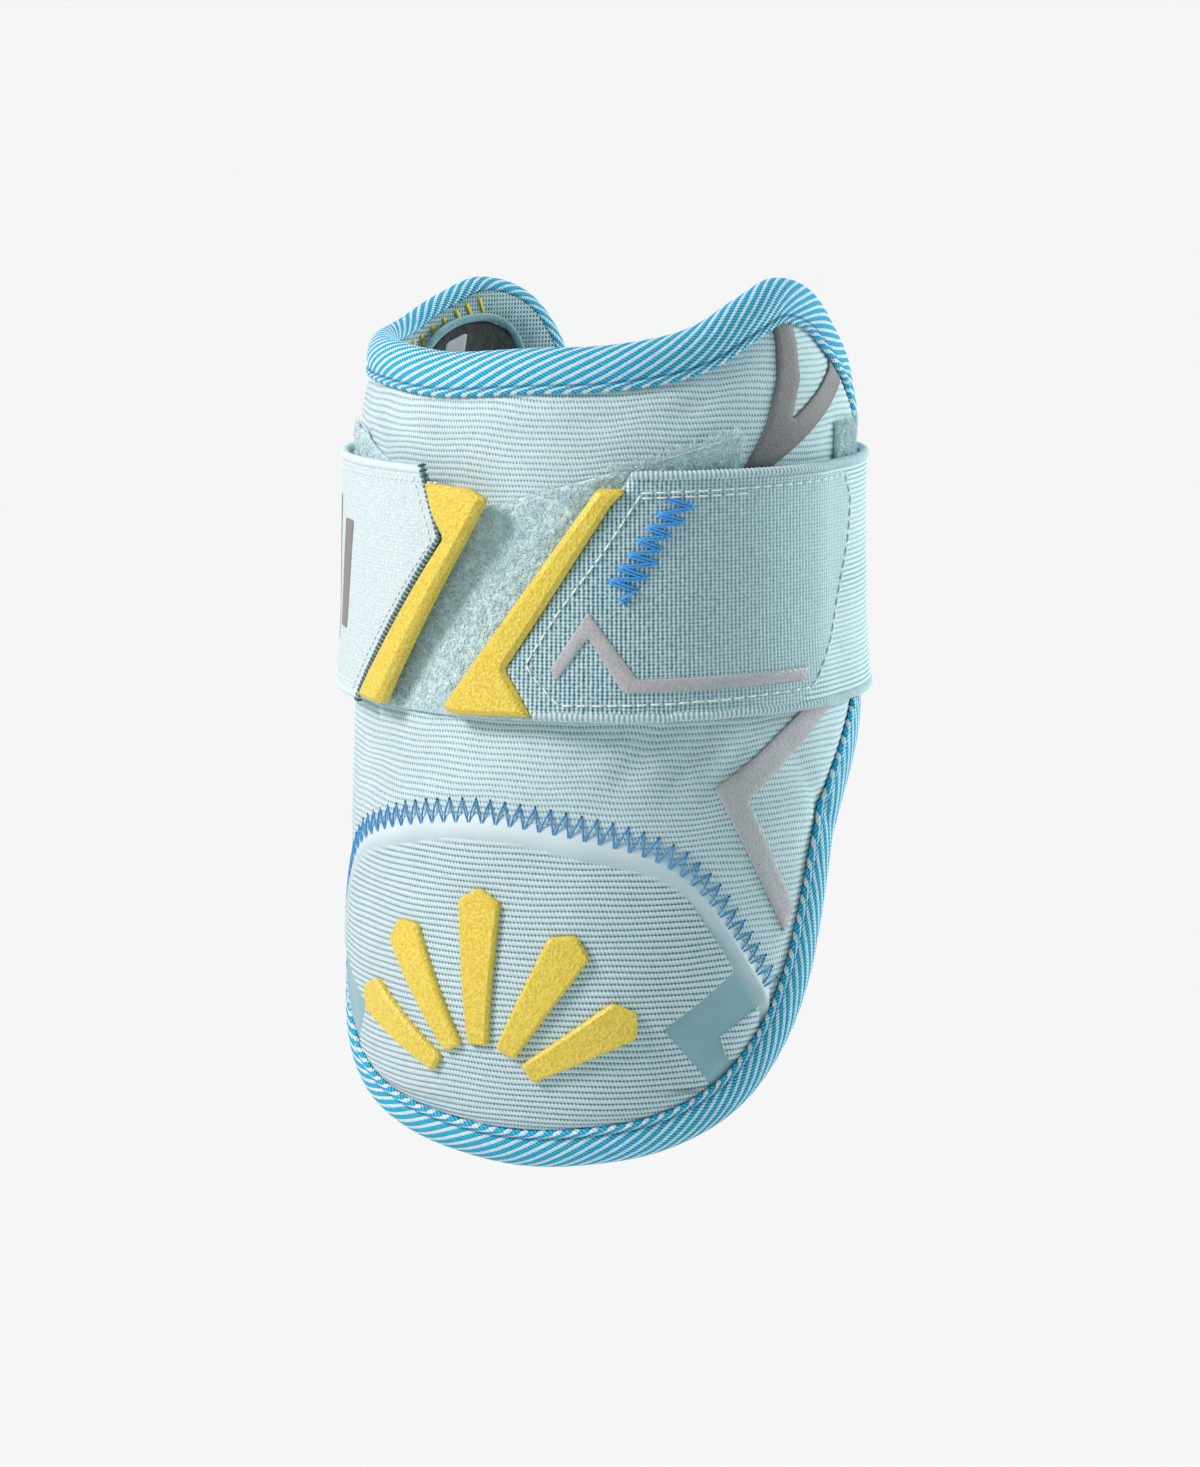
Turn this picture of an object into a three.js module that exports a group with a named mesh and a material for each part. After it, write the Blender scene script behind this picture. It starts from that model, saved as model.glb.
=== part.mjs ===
import * as THREE from "three";
import { mergeVertices } from "three/addons/utils/BufferGeometryUtils.js";
import { TessellateModifier } from "three/addons/modifiers/TessellateModifier.js";

// A batter's elbow guard, worn over the outside of the elbow and closed by one wide elastic strap.
// Millimetres and degrees. +Z runs up the arm, -Y is the front of the guard, and the origin is on the
// arm's axis at the middle of the strap. Every piece is laid out on the wrapped wall by an angle round
// the arm, 0 at the front and positive towards +X, and a height, and then stands off that wall.

// Driving dimensions of the wall
const guardRadius = 56; // outside of the padded wall at the strap, from the arm's axis
const earRise = 66; // highest point of the top edge above the middle of the strap
const lipDrop = 127; // lowest point of the bottom lip below it
const padThickness = 3.6; // foam and cover
const liningThickness = 1.2;
const seamGap = 0.3; // clearance between pieces that lie on each other

// The binding tape, folded round the whole edge
const bindingWidth = 10; // cover on the outside, from the fold
const bindingReturn = 3.2; // cover on the inside
const tapeThickness = 1;
const tapeProud = 0.3; // how far the tape stands out of the wall
const pinchDepth = 1.05; // how far the stitching pulls the wall in beside the tape
const pinchReach = 4.5;

// The strap and what it fastens to
const strapWidth = 53;
const strapThickness = 1.6;
const cordThickness = 0.4; // extra height of the strap's two corded edges
const fleeceThickness = 1; // loop fabric on the wall
const hookThickness = 0.8; // hook pads under the strap's ends
const liftedEnd = 2.6; // how far the left strap end stands off the fleece

// Moulded and bonded trim
const tabThickness = 3;
const tabBevel = 1.1;
const trimThickness = 0.6;
const filmThickness = 0.4;
const panelThickness = 0.7;
const rayThickness = 1.6;
const rayBevel = 0.6;
const innerPadThickness = 2;
const pipingThickness = 2.6;

// Mesh steps
const acrossSteps = 34;
const upSteps = 11;
const wrapStep = 8; // longest edge of a piece that is bent onto the wall
const fineStep = 6; // and of one that runs up to the tape

// The wall's plan at several heights. Heights are shares of earRise above the strap's middle and of
// lipDrop below it, and the three reaches are shares of guardRadius.
const planRows = [
  { height: -1.1, side: 0.945, front: 0.86, back: 0.91 },
  { height: -1.0, side: 0.973, front: 0.92, back: 0.93 },
  { height: -0.91, side: 1.01, front: 1.005, back: 0.96 },
  { height: -0.82, side: 1.028, front: 1.055, back: 0.98 },
  { height: -0.68, side: 1.032, front: 1.08, back: 0.98 },
  { height: -0.48, side: 1.016, front: 1.05, back: 0.98 },
  { height: -0.24, side: 1.006, front: 1.015, back: 0.98 },
  { height: -0.1, side: 0.981, front: 0.995, back: 0.975 },
  { height: 0.1, side: 0.974, front: 0.985, back: 0.97 },
  { height: 0.32, side: 0.972, front: 0.977, back: 0.97 },
  { height: 0.5, side: 0.98, front: 0.972, back: 0.97 },
  { height: 0.64, side: 0.949, front: 0.952, back: 0.965 },
  { height: 0.8, side: 0.92, front: 0.925, back: 0.955 },
  { height: 1.1, side: 0.91, front: 0.915, back: 0.94 },
];

// The guard's edge, seen from outside, once round from the bottom lip. A corner row starts a new side
// of the sheet.
const edgeRows = [
  { angle: 8, height: -1 },
  { angle: 26, height: -0.99 },
  { angle: 44, height: -0.962 },
  { angle: 60, height: -0.9 },
  { angle: 72, height: -0.806 },
  { angle: 81, height: -0.69 },
  { angle: 87.5, height: -0.56 },
  { angle: 93.5, height: -0.43 },
  { angle: 104, height: -0.34 },
  { angle: 117, height: -0.25, corner: true },
  { angle: 127, height: -0.1 },
  { angle: 131, height: 0.18 },
  { angle: 127, height: 0.5 },
  { angle: 118, height: 0.72, corner: true },
  { angle: 104, height: 0.85 },
  { angle: 90, height: 0.965 },
  { angle: 76, height: 1 },
  { angle: 64, height: 0.94 },
  { angle: 50, height: 0.85 },
  { angle: 32, height: 0.805 },
  { angle: 10, height: 0.79 },
  { angle: -12, height: 0.77 },
  { angle: -34, height: 0.785 },
  { angle: -58, height: 0.8 },
  { angle: -80, height: 0.82 },
  { angle: -98, height: 0.89 },
  { angle: -114, height: 0.945 },
  { angle: -129, height: 0.88 },
  { angle: -139, height: 0.7, corner: true },
  { angle: -143, height: 0.44 },
  { angle: -139, height: 0.12 },
  { angle: -128, height: -0.11 },
  { angle: -113, height: -0.23, corner: true },
  { angle: -97, height: -0.325 },
  { angle: -84, height: -0.4 },
  { angle: -77, height: -0.53 },
  { angle: -72, height: -0.67 },
  { angle: -64, height: -0.79 },
  { angle: -53, height: -0.875 },
  { angle: -40, height: -0.935 },
  { angle: -25, height: -0.97 },
  { angle: -8, height: -0.99 },
];

// Dents and soft folds of the wall: where each lies, its half-sizes round and up the wall, how far it
// goes in, as shares of the pad's thickness.
const dentRows = [
  { angle: 44, height: -0.33, around: 14, up: 9, depth: 0.22 },
  { angle: 70, height: -0.27, around: 10, up: 9, depth: 0.15 },
  { angle: 22, height: -0.28, around: 9, up: 9, depth: -0.1 },
  { angle: -30, height: -0.3, around: 14, up: 8, depth: 0.2 },
  { angle: -40, height: 0.52, around: 12, up: 9, depth: 0.2 },
  { angle: 8, height: 0.47, around: 20, up: 8, depth: 0.13 },
  { angle: 84, height: -0.42, around: 10, up: 10, depth: -0.1 },
  { angle: -92, height: 0.6, around: 14, up: 10, depth: -0.15 },
];

// Height above the strap's middle from a share of the guard's own reach up or down.
function heightOf(share) {
  return share >= 0 ? share * earRise : share * lipDrop;
}

function arcOf(angle) {
  return THREE.MathUtils.degToRad(angle) * guardRadius;
}

// A point of the unrolled wall: millimetres round the arm, and height.
function spot({ angle, height }) {
  return new THREE.Vector2(arcOf(angle), heightOf(height));
}

// A point whose height is a share of half the strap's width.
function strapSpot({ angle, rise }) {
  return new THREE.Vector2(arcOf(angle), (rise * strapWidth) / 2);
}

// One column of the plan at a height, with smooth slopes between its rows.
function planAt(column, height) {
  const last = planRows.length - 2;
  let i = planRows.findIndex((row) => heightOf(row.height) > height) - 1;
  i = i < 0 ? (height < 0 ? 0 : last) : Math.min(i, last);
  const slope = (k) => {
    const a = planRows[Math.max(k - 1, 0)];
    const b = planRows[Math.min(k + 1, planRows.length - 1)];
    return (b[column] - a[column]) / (heightOf(b.height) - heightOf(a.height));
  };
  const low = heightOf(planRows[i].height);
  const span = heightOf(planRows[i + 1].height) - low;
  const t = THREE.MathUtils.clamp((height - low) / span, 0, 1);
  const rise = t * t * (3 - 2 * t);
  return (
    planRows[i][column] * (1 - rise) +
    planRows[i + 1][column] * rise +
    slope(i) * span * t * (1 - t) * (1 - t) -
    slope(i + 1) * span * t * t * (1 - t)
  );
}

function dentAt(arc, height) {
  return dentRows.reduce((sum, row) => {
    const centre = spot(row);
    const around = (arc - centre.x) / row.around;
    const up = (height - centre.y) / row.up;
    return sum + row.depth * padThickness * Math.exp(-around * around - up * up);
  }, 0);
}

// The outside of the wall: side, front and back reaches blended round the arm, less the dents.
function wallPoint(arc, height) {
  const turn = arc / guardRadius;
  const facing = Math.cos(turn);
  const side = planAt("side", height);
  const end = planAt(facing > 0 ? "front" : "back", height);
  const reach = (side + (end - side) * facing * facing) * guardRadius - dentAt(arc, height);
  return new THREE.Vector3(reach * Math.sin(turn), -reach * facing, height);
}

// A point at a distance off the wall, along the wall's own normal.
function offWall(arc, height, distance) {
  const step = 0.5;
  const around = wallPoint(arc + step, height).sub(wallPoint(arc - step, height));
  const up = wallPoint(arc, height + step).sub(wallPoint(arc, height - step));
  return wallPoint(arc, height).addScaledVector(around.cross(up).normalize(), distance);
}

// The edge as one smooth closed line on the unrolled wall, in equal steps.
const edgeSteps = 720;
const edgeCurve = new THREE.CatmullRomCurve3(
  edgeRows.map((row) => new THREE.Vector3(spot(row).x, spot(row).y, 0)),
  true,
);
const edgeLine = edgeCurve.getSpacedPoints(edgeSteps).slice(0, edgeSteps);

// A point of the edge by its share of the way round, moved in from the edge along the wall.
function edgePoint(share, inset) {
  const place = (share - Math.floor(share)) * edgeSteps;
  const i = Math.floor(place) % edgeSteps;
  const at = (k) => edgeLine[(k + edgeSteps) % edgeSteps];
  const point = at(i).clone().lerp(at(i + 1), place - Math.floor(place));
  const smoothing = 4;
  const along = at(i + smoothing).clone().sub(at(i - smoothing)).normalize();
  return new THREE.Vector2(point.x - along.y * inset, point.y + along.x * inset);
}

// Share of the way round at which the edge passes closest to a point.
function edgeShare(point) {
  let best = 0;
  edgeLine.forEach((p, i) => {
    if (p.distanceToSquared(point) < edgeLine[best].distanceToSquared(point)) best = i;
  });
  return best / edgeSteps;
}

// How far a point lies inside the edge.
function edgeDepth(arc, height) {
  return Math.min(...edgeLine.map((p) => Math.hypot(p.x - arc, p.y - height)));
}

// The wall goes in beside the tape, where the stitching holds it down.
function pinch(arc, height) {
  const clear = (edgeDepth(arc, height) - bindingWidth) / pinchReach;
  return -pinchDepth * (1 - THREE.MathUtils.clamp(clear, 0, 1));
}

// A point standing off the pinched wall.
function onCover(arc, height, distance) {
  return offWall(arc, height, distance + pinch(arc, height));
}

// Joins vertices that meet and drops faces that have closed up, so that a solid is one closed mesh.
function closedMesh(positions, faces) {
  const raw = new THREE.BufferGeometry();
  raw.setAttribute("position", new THREE.Float32BufferAttribute(positions.flatMap((p) => [p.x, p.y, p.z]), 3));
  raw.setIndex(faces.flat());
  const merged = mergeVertices(raw, 1e-4);
  const kept = [];
  for (let i = 0; i < merged.index.count; i += 3) {
    const [a, b, c] = [0, 1, 2].map((k) => merged.index.getX(i + k));
    if (a !== b && b !== c && c !== a) kept.push(a, b, c);
  }
  merged.setIndex(kept);
  merged.computeVertexNormals();
  return merged;
}

// A slab over a grid of unrolled points. under and over give the two faces for grid point (i, j), and
// each cell is split along its shorter diagonal.
function gridSlab(grid, under, over) {
  const columns = grid.length;
  const rows = grid[0].length;
  const id = (i, j) => i * rows + j;
  const top = grid.flatMap((line, i) => line.map((p, j) => over(p, i, j)));
  const bottom = grid.flatMap((line, i) => line.map((p, j) => under(p, i, j)));
  const shift = columns * rows;
  const faces = [];
  for (let i = 0; i + 1 < columns; i++) {
    for (let j = 0; j + 1 < rows; j++) {
      const [a, b, c, d] = [id(i, j), id(i + 1, j), id(i + 1, j + 1), id(i, j + 1)];
      const rising = grid[i][j].distanceTo(grid[i + 1][j + 1]);
      const falling = grid[i + 1][j].distanceTo(grid[i][j + 1]);
      for (const [p, q, r] of rising <= falling ? [[a, b, c], [a, c, d]] : [[a, b, d], [b, c, d]]) {
        faces.push([p, q, r], [p + shift, r + shift, q + shift]);
      }
    }
  }
  const rim = [];
  for (let i = 0; i + 1 < columns; i++) rim.push(id(i, 0));
  for (let j = 0; j + 1 < rows; j++) rim.push(id(columns - 1, j));
  for (let i = columns - 1; i > 0; i--) rim.push(id(i, rows - 1));
  for (let j = rows - 1; j > 0; j--) rim.push(id(0, j));
  rim.forEach((a, k) => {
    const b = rim[(k + 1) % rim.length];
    faces.push([a, a + shift, b + shift], [a, b + shift, b]);
  });
  return closedMesh([...top, ...bottom], faces);
}

// Points along a broken line, with a given number of steps on each of its stretches.
function alongLine(corners, steps) {
  const points = [corners[0]];
  steps.forEach((count, k) => {
    for (let i = 1; i <= count; i++) points.push(corners[k].clone().lerp(corners[k + 1], i / count));
  });
  return points;
}

// Fills four sides with a smooth grid. bottom and top run round the arm, left and right run up.
function fillSides(bottom, top, left, right) {
  const lastAcross = bottom.length - 1;
  const lastUp = left.length - 1;
  return bottom.map((low, i) =>
    left.map((leftPoint, j) => {
      const u = i / lastAcross;
      const v = j / lastUp;
      const point = low.clone().multiplyScalar(1 - v).addScaledVector(top[i], v);
      point.addScaledVector(leftPoint, 1 - u).addScaledVector(right[j], u);
      point.addScaledVector(bottom[0], -(1 - u) * (1 - v)).addScaledVector(bottom[lastAcross], -u * (1 - v));
      return point.addScaledVector(top[0], -(1 - u) * v).addScaledVector(top[lastAcross], -u * v);
    }),
  );
}

// The wall's sheet as a grid, whose outer rings follow the edge at the given insets.
const corners = edgeRows.filter((row) => row.corner).map((row) => edgeShare(new THREE.Vector3(spot(row).x, spot(row).y, 0)));

function sheetGrid(insets) {
  const [lowRight, highRight, highLeft, lowLeft] = corners;
  const side = (from, to, count, inset) => {
    const span = (to - from + 1) % 1;
    return Array.from({ length: count + 1 }, (_, k) => edgePoint(from + (span * k) / count, inset));
  };
  const ring = (inset) => ({
    bottom: side(lowLeft, lowRight, acrossSteps, inset),
    right: side(lowRight, highRight, upSteps, inset),
    top: side(highRight, highLeft, acrossSteps, inset).reverse(),
    left: side(highLeft, lowLeft, upSteps, inset).reverse(),
  });
  const inner = ring(insets[insets.length - 1]);
  let grid = fillSides(inner.bottom, inner.top, inner.left, inner.right);
  for (const inset of insets.slice(0, -1).reverse()) {
    const next = ring(inset);
    const first = [next.left[0], ...next.left, next.left[next.left.length - 1]];
    const last = [next.right[0], ...next.right, next.right[next.right.length - 1]];
    grid = frameGrid(grid, next, first, last);
  }
  return grid;
}

// Puts one more ring round a grid. Its four corner cells close up to nothing.
function frameGrid(grid, ring, first, last) {
  const pad = (list) => [list[0], ...list, list[list.length - 1]];
  const stretch = (list, length) => {
    let out = list;
    while (out.length < length) out = pad(out);
    return out;
  };
  const rows = grid[0].length + 2;
  const bottom = stretch(ring.bottom, grid.length);
  const top = stretch(ring.top, grid.length);
  const middle = grid.map((line, i) => [bottom[i], ...line, top[i]]);
  return [stretch(first, rows), ...middle, stretch(last, rows)];
}

// A flat outline with square or bevelled sides, cut fine and bent onto the wall.
function wrapped(points, seat, thickness, bevel, stand = onCover, step = wrapStep) {
  const flat = new THREE.ExtrudeGeometry(new THREE.Shape(points), {
    depth: thickness - bevel,
    bevelEnabled: bevel > 0,
    bevelSegments: 1,
    bevelThickness: bevel,
    bevelSize: bevel,
    bevelOffset: -bevel,
    curveSegments: 4,
  });
  const cut = new TessellateModifier(step, 10).modify(flat);
  const position = cut.getAttribute("position");
  const bent = Array.from({ length: position.count }, (_, i) => {
    const under = bevel > 0 ? Math.max(position.getZ(i), 0) : position.getZ(i);
    return stand(position.getX(i), position.getY(i), seat + under);
  });
  return closedMesh(bent, bent.map((_, i) => i).reduce((all, i) => (i % 3 ? all : [...all, [i, i + 1, i + 2]]), []));
}

function place(group, name, geometry, colour, roughness) {
  const mesh = new THREE.Mesh(geometry, new THREE.MeshStandardMaterial({ color: colour, roughness, metalness: 0 }));
  mesh.name = name;
  group.add(mesh);
}

const aqua = 0xbcd2d6;
const paleAqua = 0xd8e6e6;
const tapeBlue = 0x3fb0dc;
const moulded = 0xe8cf4a;
const silver = 0xa9acae;
const darkGrey = 0x848484;
const black = 0x2a2a2c;

const guard = new THREE.Group();
guard.name = "elbow_guard";

// Padded wall and lining
const tapeUnder = tapeProud - tapeThickness - 2.2 * seamGap; // wall's outside under the tape
const coreInset = 2.9; // the wall stops short of the fold
const besideTape = bindingWidth + seamGap;
const besideReturn = bindingReturn + seamGap;
const pinchEnd = bindingWidth + pinchReach;

function paddedWall() {
  const grid = sheetGrid([coreInset, besideTape, pinchEnd]);
  const isRim = (i, j) => i === 0 || j === 0 || i === grid.length - 1 || j === grid[0].length - 1;
  return gridSlab(
    grid,
    (p) => offWall(p.x, p.y, -padThickness),
    (p, i, j) => (isRim(i, j) ? offWall(p.x, p.y, tapeUnder) : onCover(p.x, p.y, 0)),
  );
}

function lining() {
  const outside = -padThickness - 1.2 * seamGap;
  return gridSlab(
    sheetGrid([besideReturn, besideTape, pinchEnd]),
    (p) => offWall(p.x, p.y, outside - liningThickness),
    (p) => offWall(p.x, p.y, outside),
  );
}

place(guard, "padded_wall", paddedWall(), aqua, 0.9);
place(guard, "lining", lining(), paleAqua, 0.95);

// Binding tape: a U section carried round the edge. Its fold is a half round.
function bindingTape() {
  const outside = tapeProud;
  const inside = -padThickness - 1.5 * seamGap - tapeThickness;
  const fold = (outside - inside) / 2;
  const middle = (outside + inside) / 2;
  const bend = fold - tapeThickness;
  const arc = (radius, steps, turn) =>
    Array.from({ length: steps + 1 }, (_, k) => {
      const a = (Math.PI * k) / steps - Math.PI / 2;
      return { inset: fold - radius * Math.cos(a), distance: middle - turn * radius * Math.sin(a) };
    });
  const section = [
    { inset: bindingWidth, distance: outside },
    ...arc(fold, 3, 1),
    { inset: bindingReturn, distance: inside },
    { inset: bindingReturn, distance: inside + tapeThickness },
    ...arc(bend, 2, -1),
    { inset: bindingWidth, distance: outside - tapeThickness },
  ];
  const stations = 2 * (acrossSteps + upSteps);
  const points = [];
  const faces = [];
  for (let k = 0; k < stations; k++) {
    for (const { inset, distance } of section) {
      const p = edgePoint(stationShare(k), inset);
      points.push(offWall(p.x, p.y, distance));
    }
  }
  const at = (k, m) => (k % stations) * section.length + (m % section.length);
  for (let k = 0; k < stations; k++) {
    for (let m = 0; m < section.length; m++) {
      faces.push([at(k, m), at(k, m + 1), at(k + 1, m + 1)], [at(k, m), at(k + 1, m + 1), at(k + 1, m)]);
    }
  }
  return closedMesh(points, faces);
}

// The tape's sections stand where the sheet's grid meets the edge, so that their facets run together.
function stationShare(k) {
  const [lowRight, highRight, highLeft, lowLeft] = corners;
  const sides = [
    { from: lowLeft, to: lowRight, count: acrossSteps },
    { from: lowRight, to: highRight, count: upSteps },
    { from: highRight, to: highLeft, count: acrossSteps },
    { from: highLeft, to: lowLeft, count: upSteps },
  ];
  let rest = k;
  for (const { from, to, count } of sides) {
    if (rest < count) return from + (((to - from + 1) % 1) * rest) / count;
    rest -= count;
  }
  return lowLeft;
}

place(guard, "binding_tape", bindingTape(), tapeBlue, 0.85);

// Shield film and ribbed panel over the hard shell. The film runs from the zigzag seam to the tape.
const seamCorners = [
  { angle: -59.2, height: -0.68 },
  { angle: -54, height: -0.58 },
  { angle: -41, height: -0.44 },
  { angle: 2, height: -0.363 },
  { angle: 46, height: -0.432 },
  { angle: 60, height: -0.59 },
  { angle: 67, height: -0.68 },
];
const seamSteps = [2, 3, 5, 5, 3, 2];
const panelTop = [
  { angle: -41, height: -0.48 },
  { angle: 2, height: -0.41 },
  { angle: 45, height: -0.477 },
];
const panelLeft = [
  { angle: -44, height: -0.87 },
  { angle: -33, height: -0.745 },
  { angle: -53, height: -0.645 },
  { angle: -41, height: -0.48 },
];
const panelRight = [
  { angle: 53, height: -0.84 },
  { angle: 42, height: -0.735 },
  { angle: 58, height: -0.645 },
  { angle: 45, height: -0.477 },
];

// Points on the inner line of the tape along the bottom lip, between two places.
function alongTape(from, to, count, inset = besideTape + seamGap) {
  const start = edgeShare(new THREE.Vector3(from.x, from.y, 0));
  const end = edgeShare(new THREE.Vector3(to.x, to.y, 0));
  const span = (end - start + 1) % 1;
  return Array.from({ length: count + 1 }, (_, k) => edgePoint(start + (span * k) / count, inset));
}

function shieldFilm() {
  const top = alongLine(seamCorners.map(spot), seamSteps);
  const count = top.length - 1;
  const low = alongTape(top[0], top[count], count);
  const next = alongTape(top[0], top[count], count, pinchEnd);
  const rows = 8;
  const grid = low.map((p, i) => [
    p,
    ...Array.from({ length: rows + 1 }, (_, k) => next[i].clone().lerp(top[i], k / rows)),
  ]);
  return gridSlab(
    grid,
    (p) => onCover(p.x, p.y, seamGap),
    (p) => onCover(p.x, p.y, seamGap + filmThickness),
  );
}

const panelSeat = seamGap + filmThickness + 1.8 * seamGap;

function shieldPanel() {
  const top = alongLine(panelTop.map(spot), [6, 6]);
  const left = alongLine(panelLeft.map(spot), [3, 3, 4]);
  const right = alongLine(panelRight.map(spot), [3, 3, 4]);
  const bottom = alongTape(left[0], right[0], 12);
  left[0] = bottom[0];
  right[0] = bottom[12];
  return gridSlab(
    fillSides(bottom, top, left, right),
    (p) => onCover(p.x, p.y, panelSeat),
    (p) => onCover(p.x, p.y, panelSeat + panelThickness),
  );
}

place(guard, "shield_film", shieldFilm(), 0x86a9ae, 0.6);
place(guard, "shield_panel", shieldPanel(), aqua, 0.9);

// Small ribbed corners beside the panel, with a band of film between.
const cornerPanels = {
  right: [
    { angle: 54, height: -0.756 },
    { angle: 56.2, height: -0.795 },
    { angle: 62.8, height: -0.712 },
  ],
  left: [
    { angle: -46, height: -0.767 },
    { angle: -54.6, height: -0.71 },
    { angle: -47.6, height: -0.803 },
  ],
};
for (const [side, rows] of Object.entries(cornerPanels)) {
  place(guard, `corner_panel_${side}`, wrapped(rows.map(spot), panelSeat, panelThickness, 0), aqua, 0.9);
}

// Raised badge on the panel: five tapered rays that spread from one centre.
const badgeCentre = spot({ angle: 3, height: -0.86 });
const badgeInner = 12;
const badgeOuter = 46;
const rayInnerHalf = 2.2;
const rayOuterHalf = 4.6;
const rayShoulder = 0.65 * rayOuterHalf; // how far its two cut corners lie below the tip
const rayTurn = 29;
const raySeat = panelSeat + panelThickness + seamGap;
for (let k = -2; k <= 2; k++) {
  const turn = THREE.MathUtils.degToRad(k * rayTurn);
  const reach = badgeOuter - Math.abs(k) * 4;
  const local = [
    new THREE.Vector2(-rayInnerHalf, badgeInner),
    new THREE.Vector2(rayInnerHalf, badgeInner),
    new THREE.Vector2(rayOuterHalf, reach - rayShoulder),
    new THREE.Vector2(0, reach),
    new THREE.Vector2(-rayOuterHalf, reach - rayShoulder),
  ];
  const points = local.map((p) => p.rotateAround(new THREE.Vector2(), -turn).add(badgeCentre));
  place(guard, `badge_ray_${k + 3}`, wrapped(points, raySeat, rayThickness, rayBevel), moulded, 0.5);
}

// Fleece patches on the wall, which the strap's ends grip
const sideFleece = {
  loop_patch_front: {
    bottom: [{ angle: -34, rise: -1.02 }, { angle: 58, rise: -1.02 }],
    top: [{ angle: -24, rise: 0.52 }, { angle: 3, rise: 0.69 }, { angle: 34, rise: 1.01 }, { angle: 60, rise: 1.26 }],
    across: [4, 5, 4],
  },
  loop_patch_left: {
    bottom: [{ angle: -96, rise: -0.9 }, { angle: -38, rise: -1.02 }],
    top: [{ angle: -96, rise: 1.18 }, { angle: -46, rise: 1.18 }, { angle: -28, rise: 0.97 }],
    across: [7, 3],
  },
  loop_patch_right: {
    bottom: [{ angle: 94, rise: -0.85 }, { angle: 101, rise: -0.85 }],
    top: [{ angle: 93, rise: 1.28 }, { angle: 107, rise: 1.28 }],
    across: [3],
  },
};

function fleecePatch({ bottom, top, across }) {
  const high = alongLine(top.map(strapSpot), across);
  const low = alongLine(bottom.map(strapSpot), [high.length - 1]);
  const left = alongLine([low[0], high[0]], [6]);
  const right = alongLine([low[low.length - 1], high[high.length - 1]], [6]);
  return gridSlab(
    fillSides(low, high, left, right),
    (p) => onCover(p.x, p.y, seamGap),
    (p) => onCover(p.x, p.y, seamGap + fleeceThickness),
  );
}

for (const [name, patch] of Object.entries(sideFleece)) {
  place(guard, name, fleecePatch(patch), 0xc8d9dd, 1);
}

// The strap. It starts at the right tab, goes round the back and ends at the left tab. Each slanted
// end is listed from the bottom up.
const rightEnd = [
  { angle: 16.5, rise: -1 },
  { angle: 10.7, rise: -0.6 },
  { angle: 36.5, rise: 1 },
];
const leftEnd = [
  { angle: 326, rise: -1 },
  { angle: 353.6, rise: 0.43 },
  { angle: 348, rise: 1 },
];
const strapRows = [
  { rise: -1, over: 0.85 },
  { rise: -0.96, over: 1.2 },
  { rise: -0.92, over: 1 },
  { rise: -0.45, over: 1 },
  { rise: 0, over: 1 },
  { rise: 0.43, over: 1 },
  { rise: 0.92, over: 1 },
  { rise: 0.96, over: 1.2 },
  { rise: 1, over: 0.85 },
];
const strapSteps = 38;
const hookSeat = seamGap + fleeceThickness + 1.4 * seamGap;
const hookRise = hookThickness + seamGap;
const rightHookEnd = 80; // where the strap starts to come down from each hook pad to the fleece
const leftHookEnd = -74;
const comeDown = 10;
const liftStart = -62;

// How far the left end stands up, by its arc.
function lift(arc) {
  const t = THREE.MathUtils.clamp((arc - arcOf(liftStart)) / -arcOf(liftStart), 0, 1.1);
  return liftedEnd * t * t;
}

function strapSeat(arc) {
  const step = THREE.MathUtils.smoothstep;
  const right = 1 - step(arc, arcOf(rightHookEnd), arcOf(rightHookEnd + comeDown));
  const left = step(arc, arcOf(360 + leftHookEnd - comeDown), arcOf(360 + leftHookEnd));
  return hookSeat + hookRise * (right + left) + (left > 0 ? lift(arc - arcOf(360)) : 0);
}

function endArc(line, rise) {
  const i = THREE.MathUtils.clamp(line.findIndex((p) => p.rise >= rise), 1, line.length - 1);
  const t = (rise - line[i - 1].rise) / (line[i].rise - line[i - 1].rise);
  return arcOf(THREE.MathUtils.lerp(line[i - 1].angle, line[i].angle, t));
}

function strap() {
  const grid = Array.from({ length: strapSteps + 1 }, (_, i) =>
    strapRows.map(({ rise }) => {
      const arc = THREE.MathUtils.lerp(endArc(rightEnd, rise), endArc(leftEnd, rise), i / strapSteps);
      return new THREE.Vector2(arc, (rise * strapWidth) / 2);
    }),
  );
  const over = (j) => strapThickness + (strapRows[j].over - 1) * (cordThickness / 0.2);
  return gridSlab(
    grid,
    (p) => offWall(p.x, p.y, strapSeat(p.x)),
    (p, i, j) => offWall(p.x, p.y, strapSeat(p.x) + over(j)),
  );
}

place(guard, "strap", strap(), 0x9dbcc2, 0.95);

// Hook pads under the two ends, and the moulded tabs welded to them
const hookPads = {
  hook_pad_right: {
    left: [{ angle: -1, rise: -0.92 }, { angle: 30, rise: 0.8 }],
    right: [{ angle: rightHookEnd - 4, rise: -0.92 }, { angle: rightHookEnd - 4, rise: 0.8 }],
    across: 10,
    raise: () => 0,
  },
  hook_pad_left: {
    left: [{ angle: leftHookEnd + 4, rise: -0.9 }, { angle: leftHookEnd + 4, rise: 0.78 }],
    right: [{ angle: -25, rise: -0.9 }, { angle: -1, rise: 0.78 }],
    across: 8,
    raise: lift,
  },
};

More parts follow.
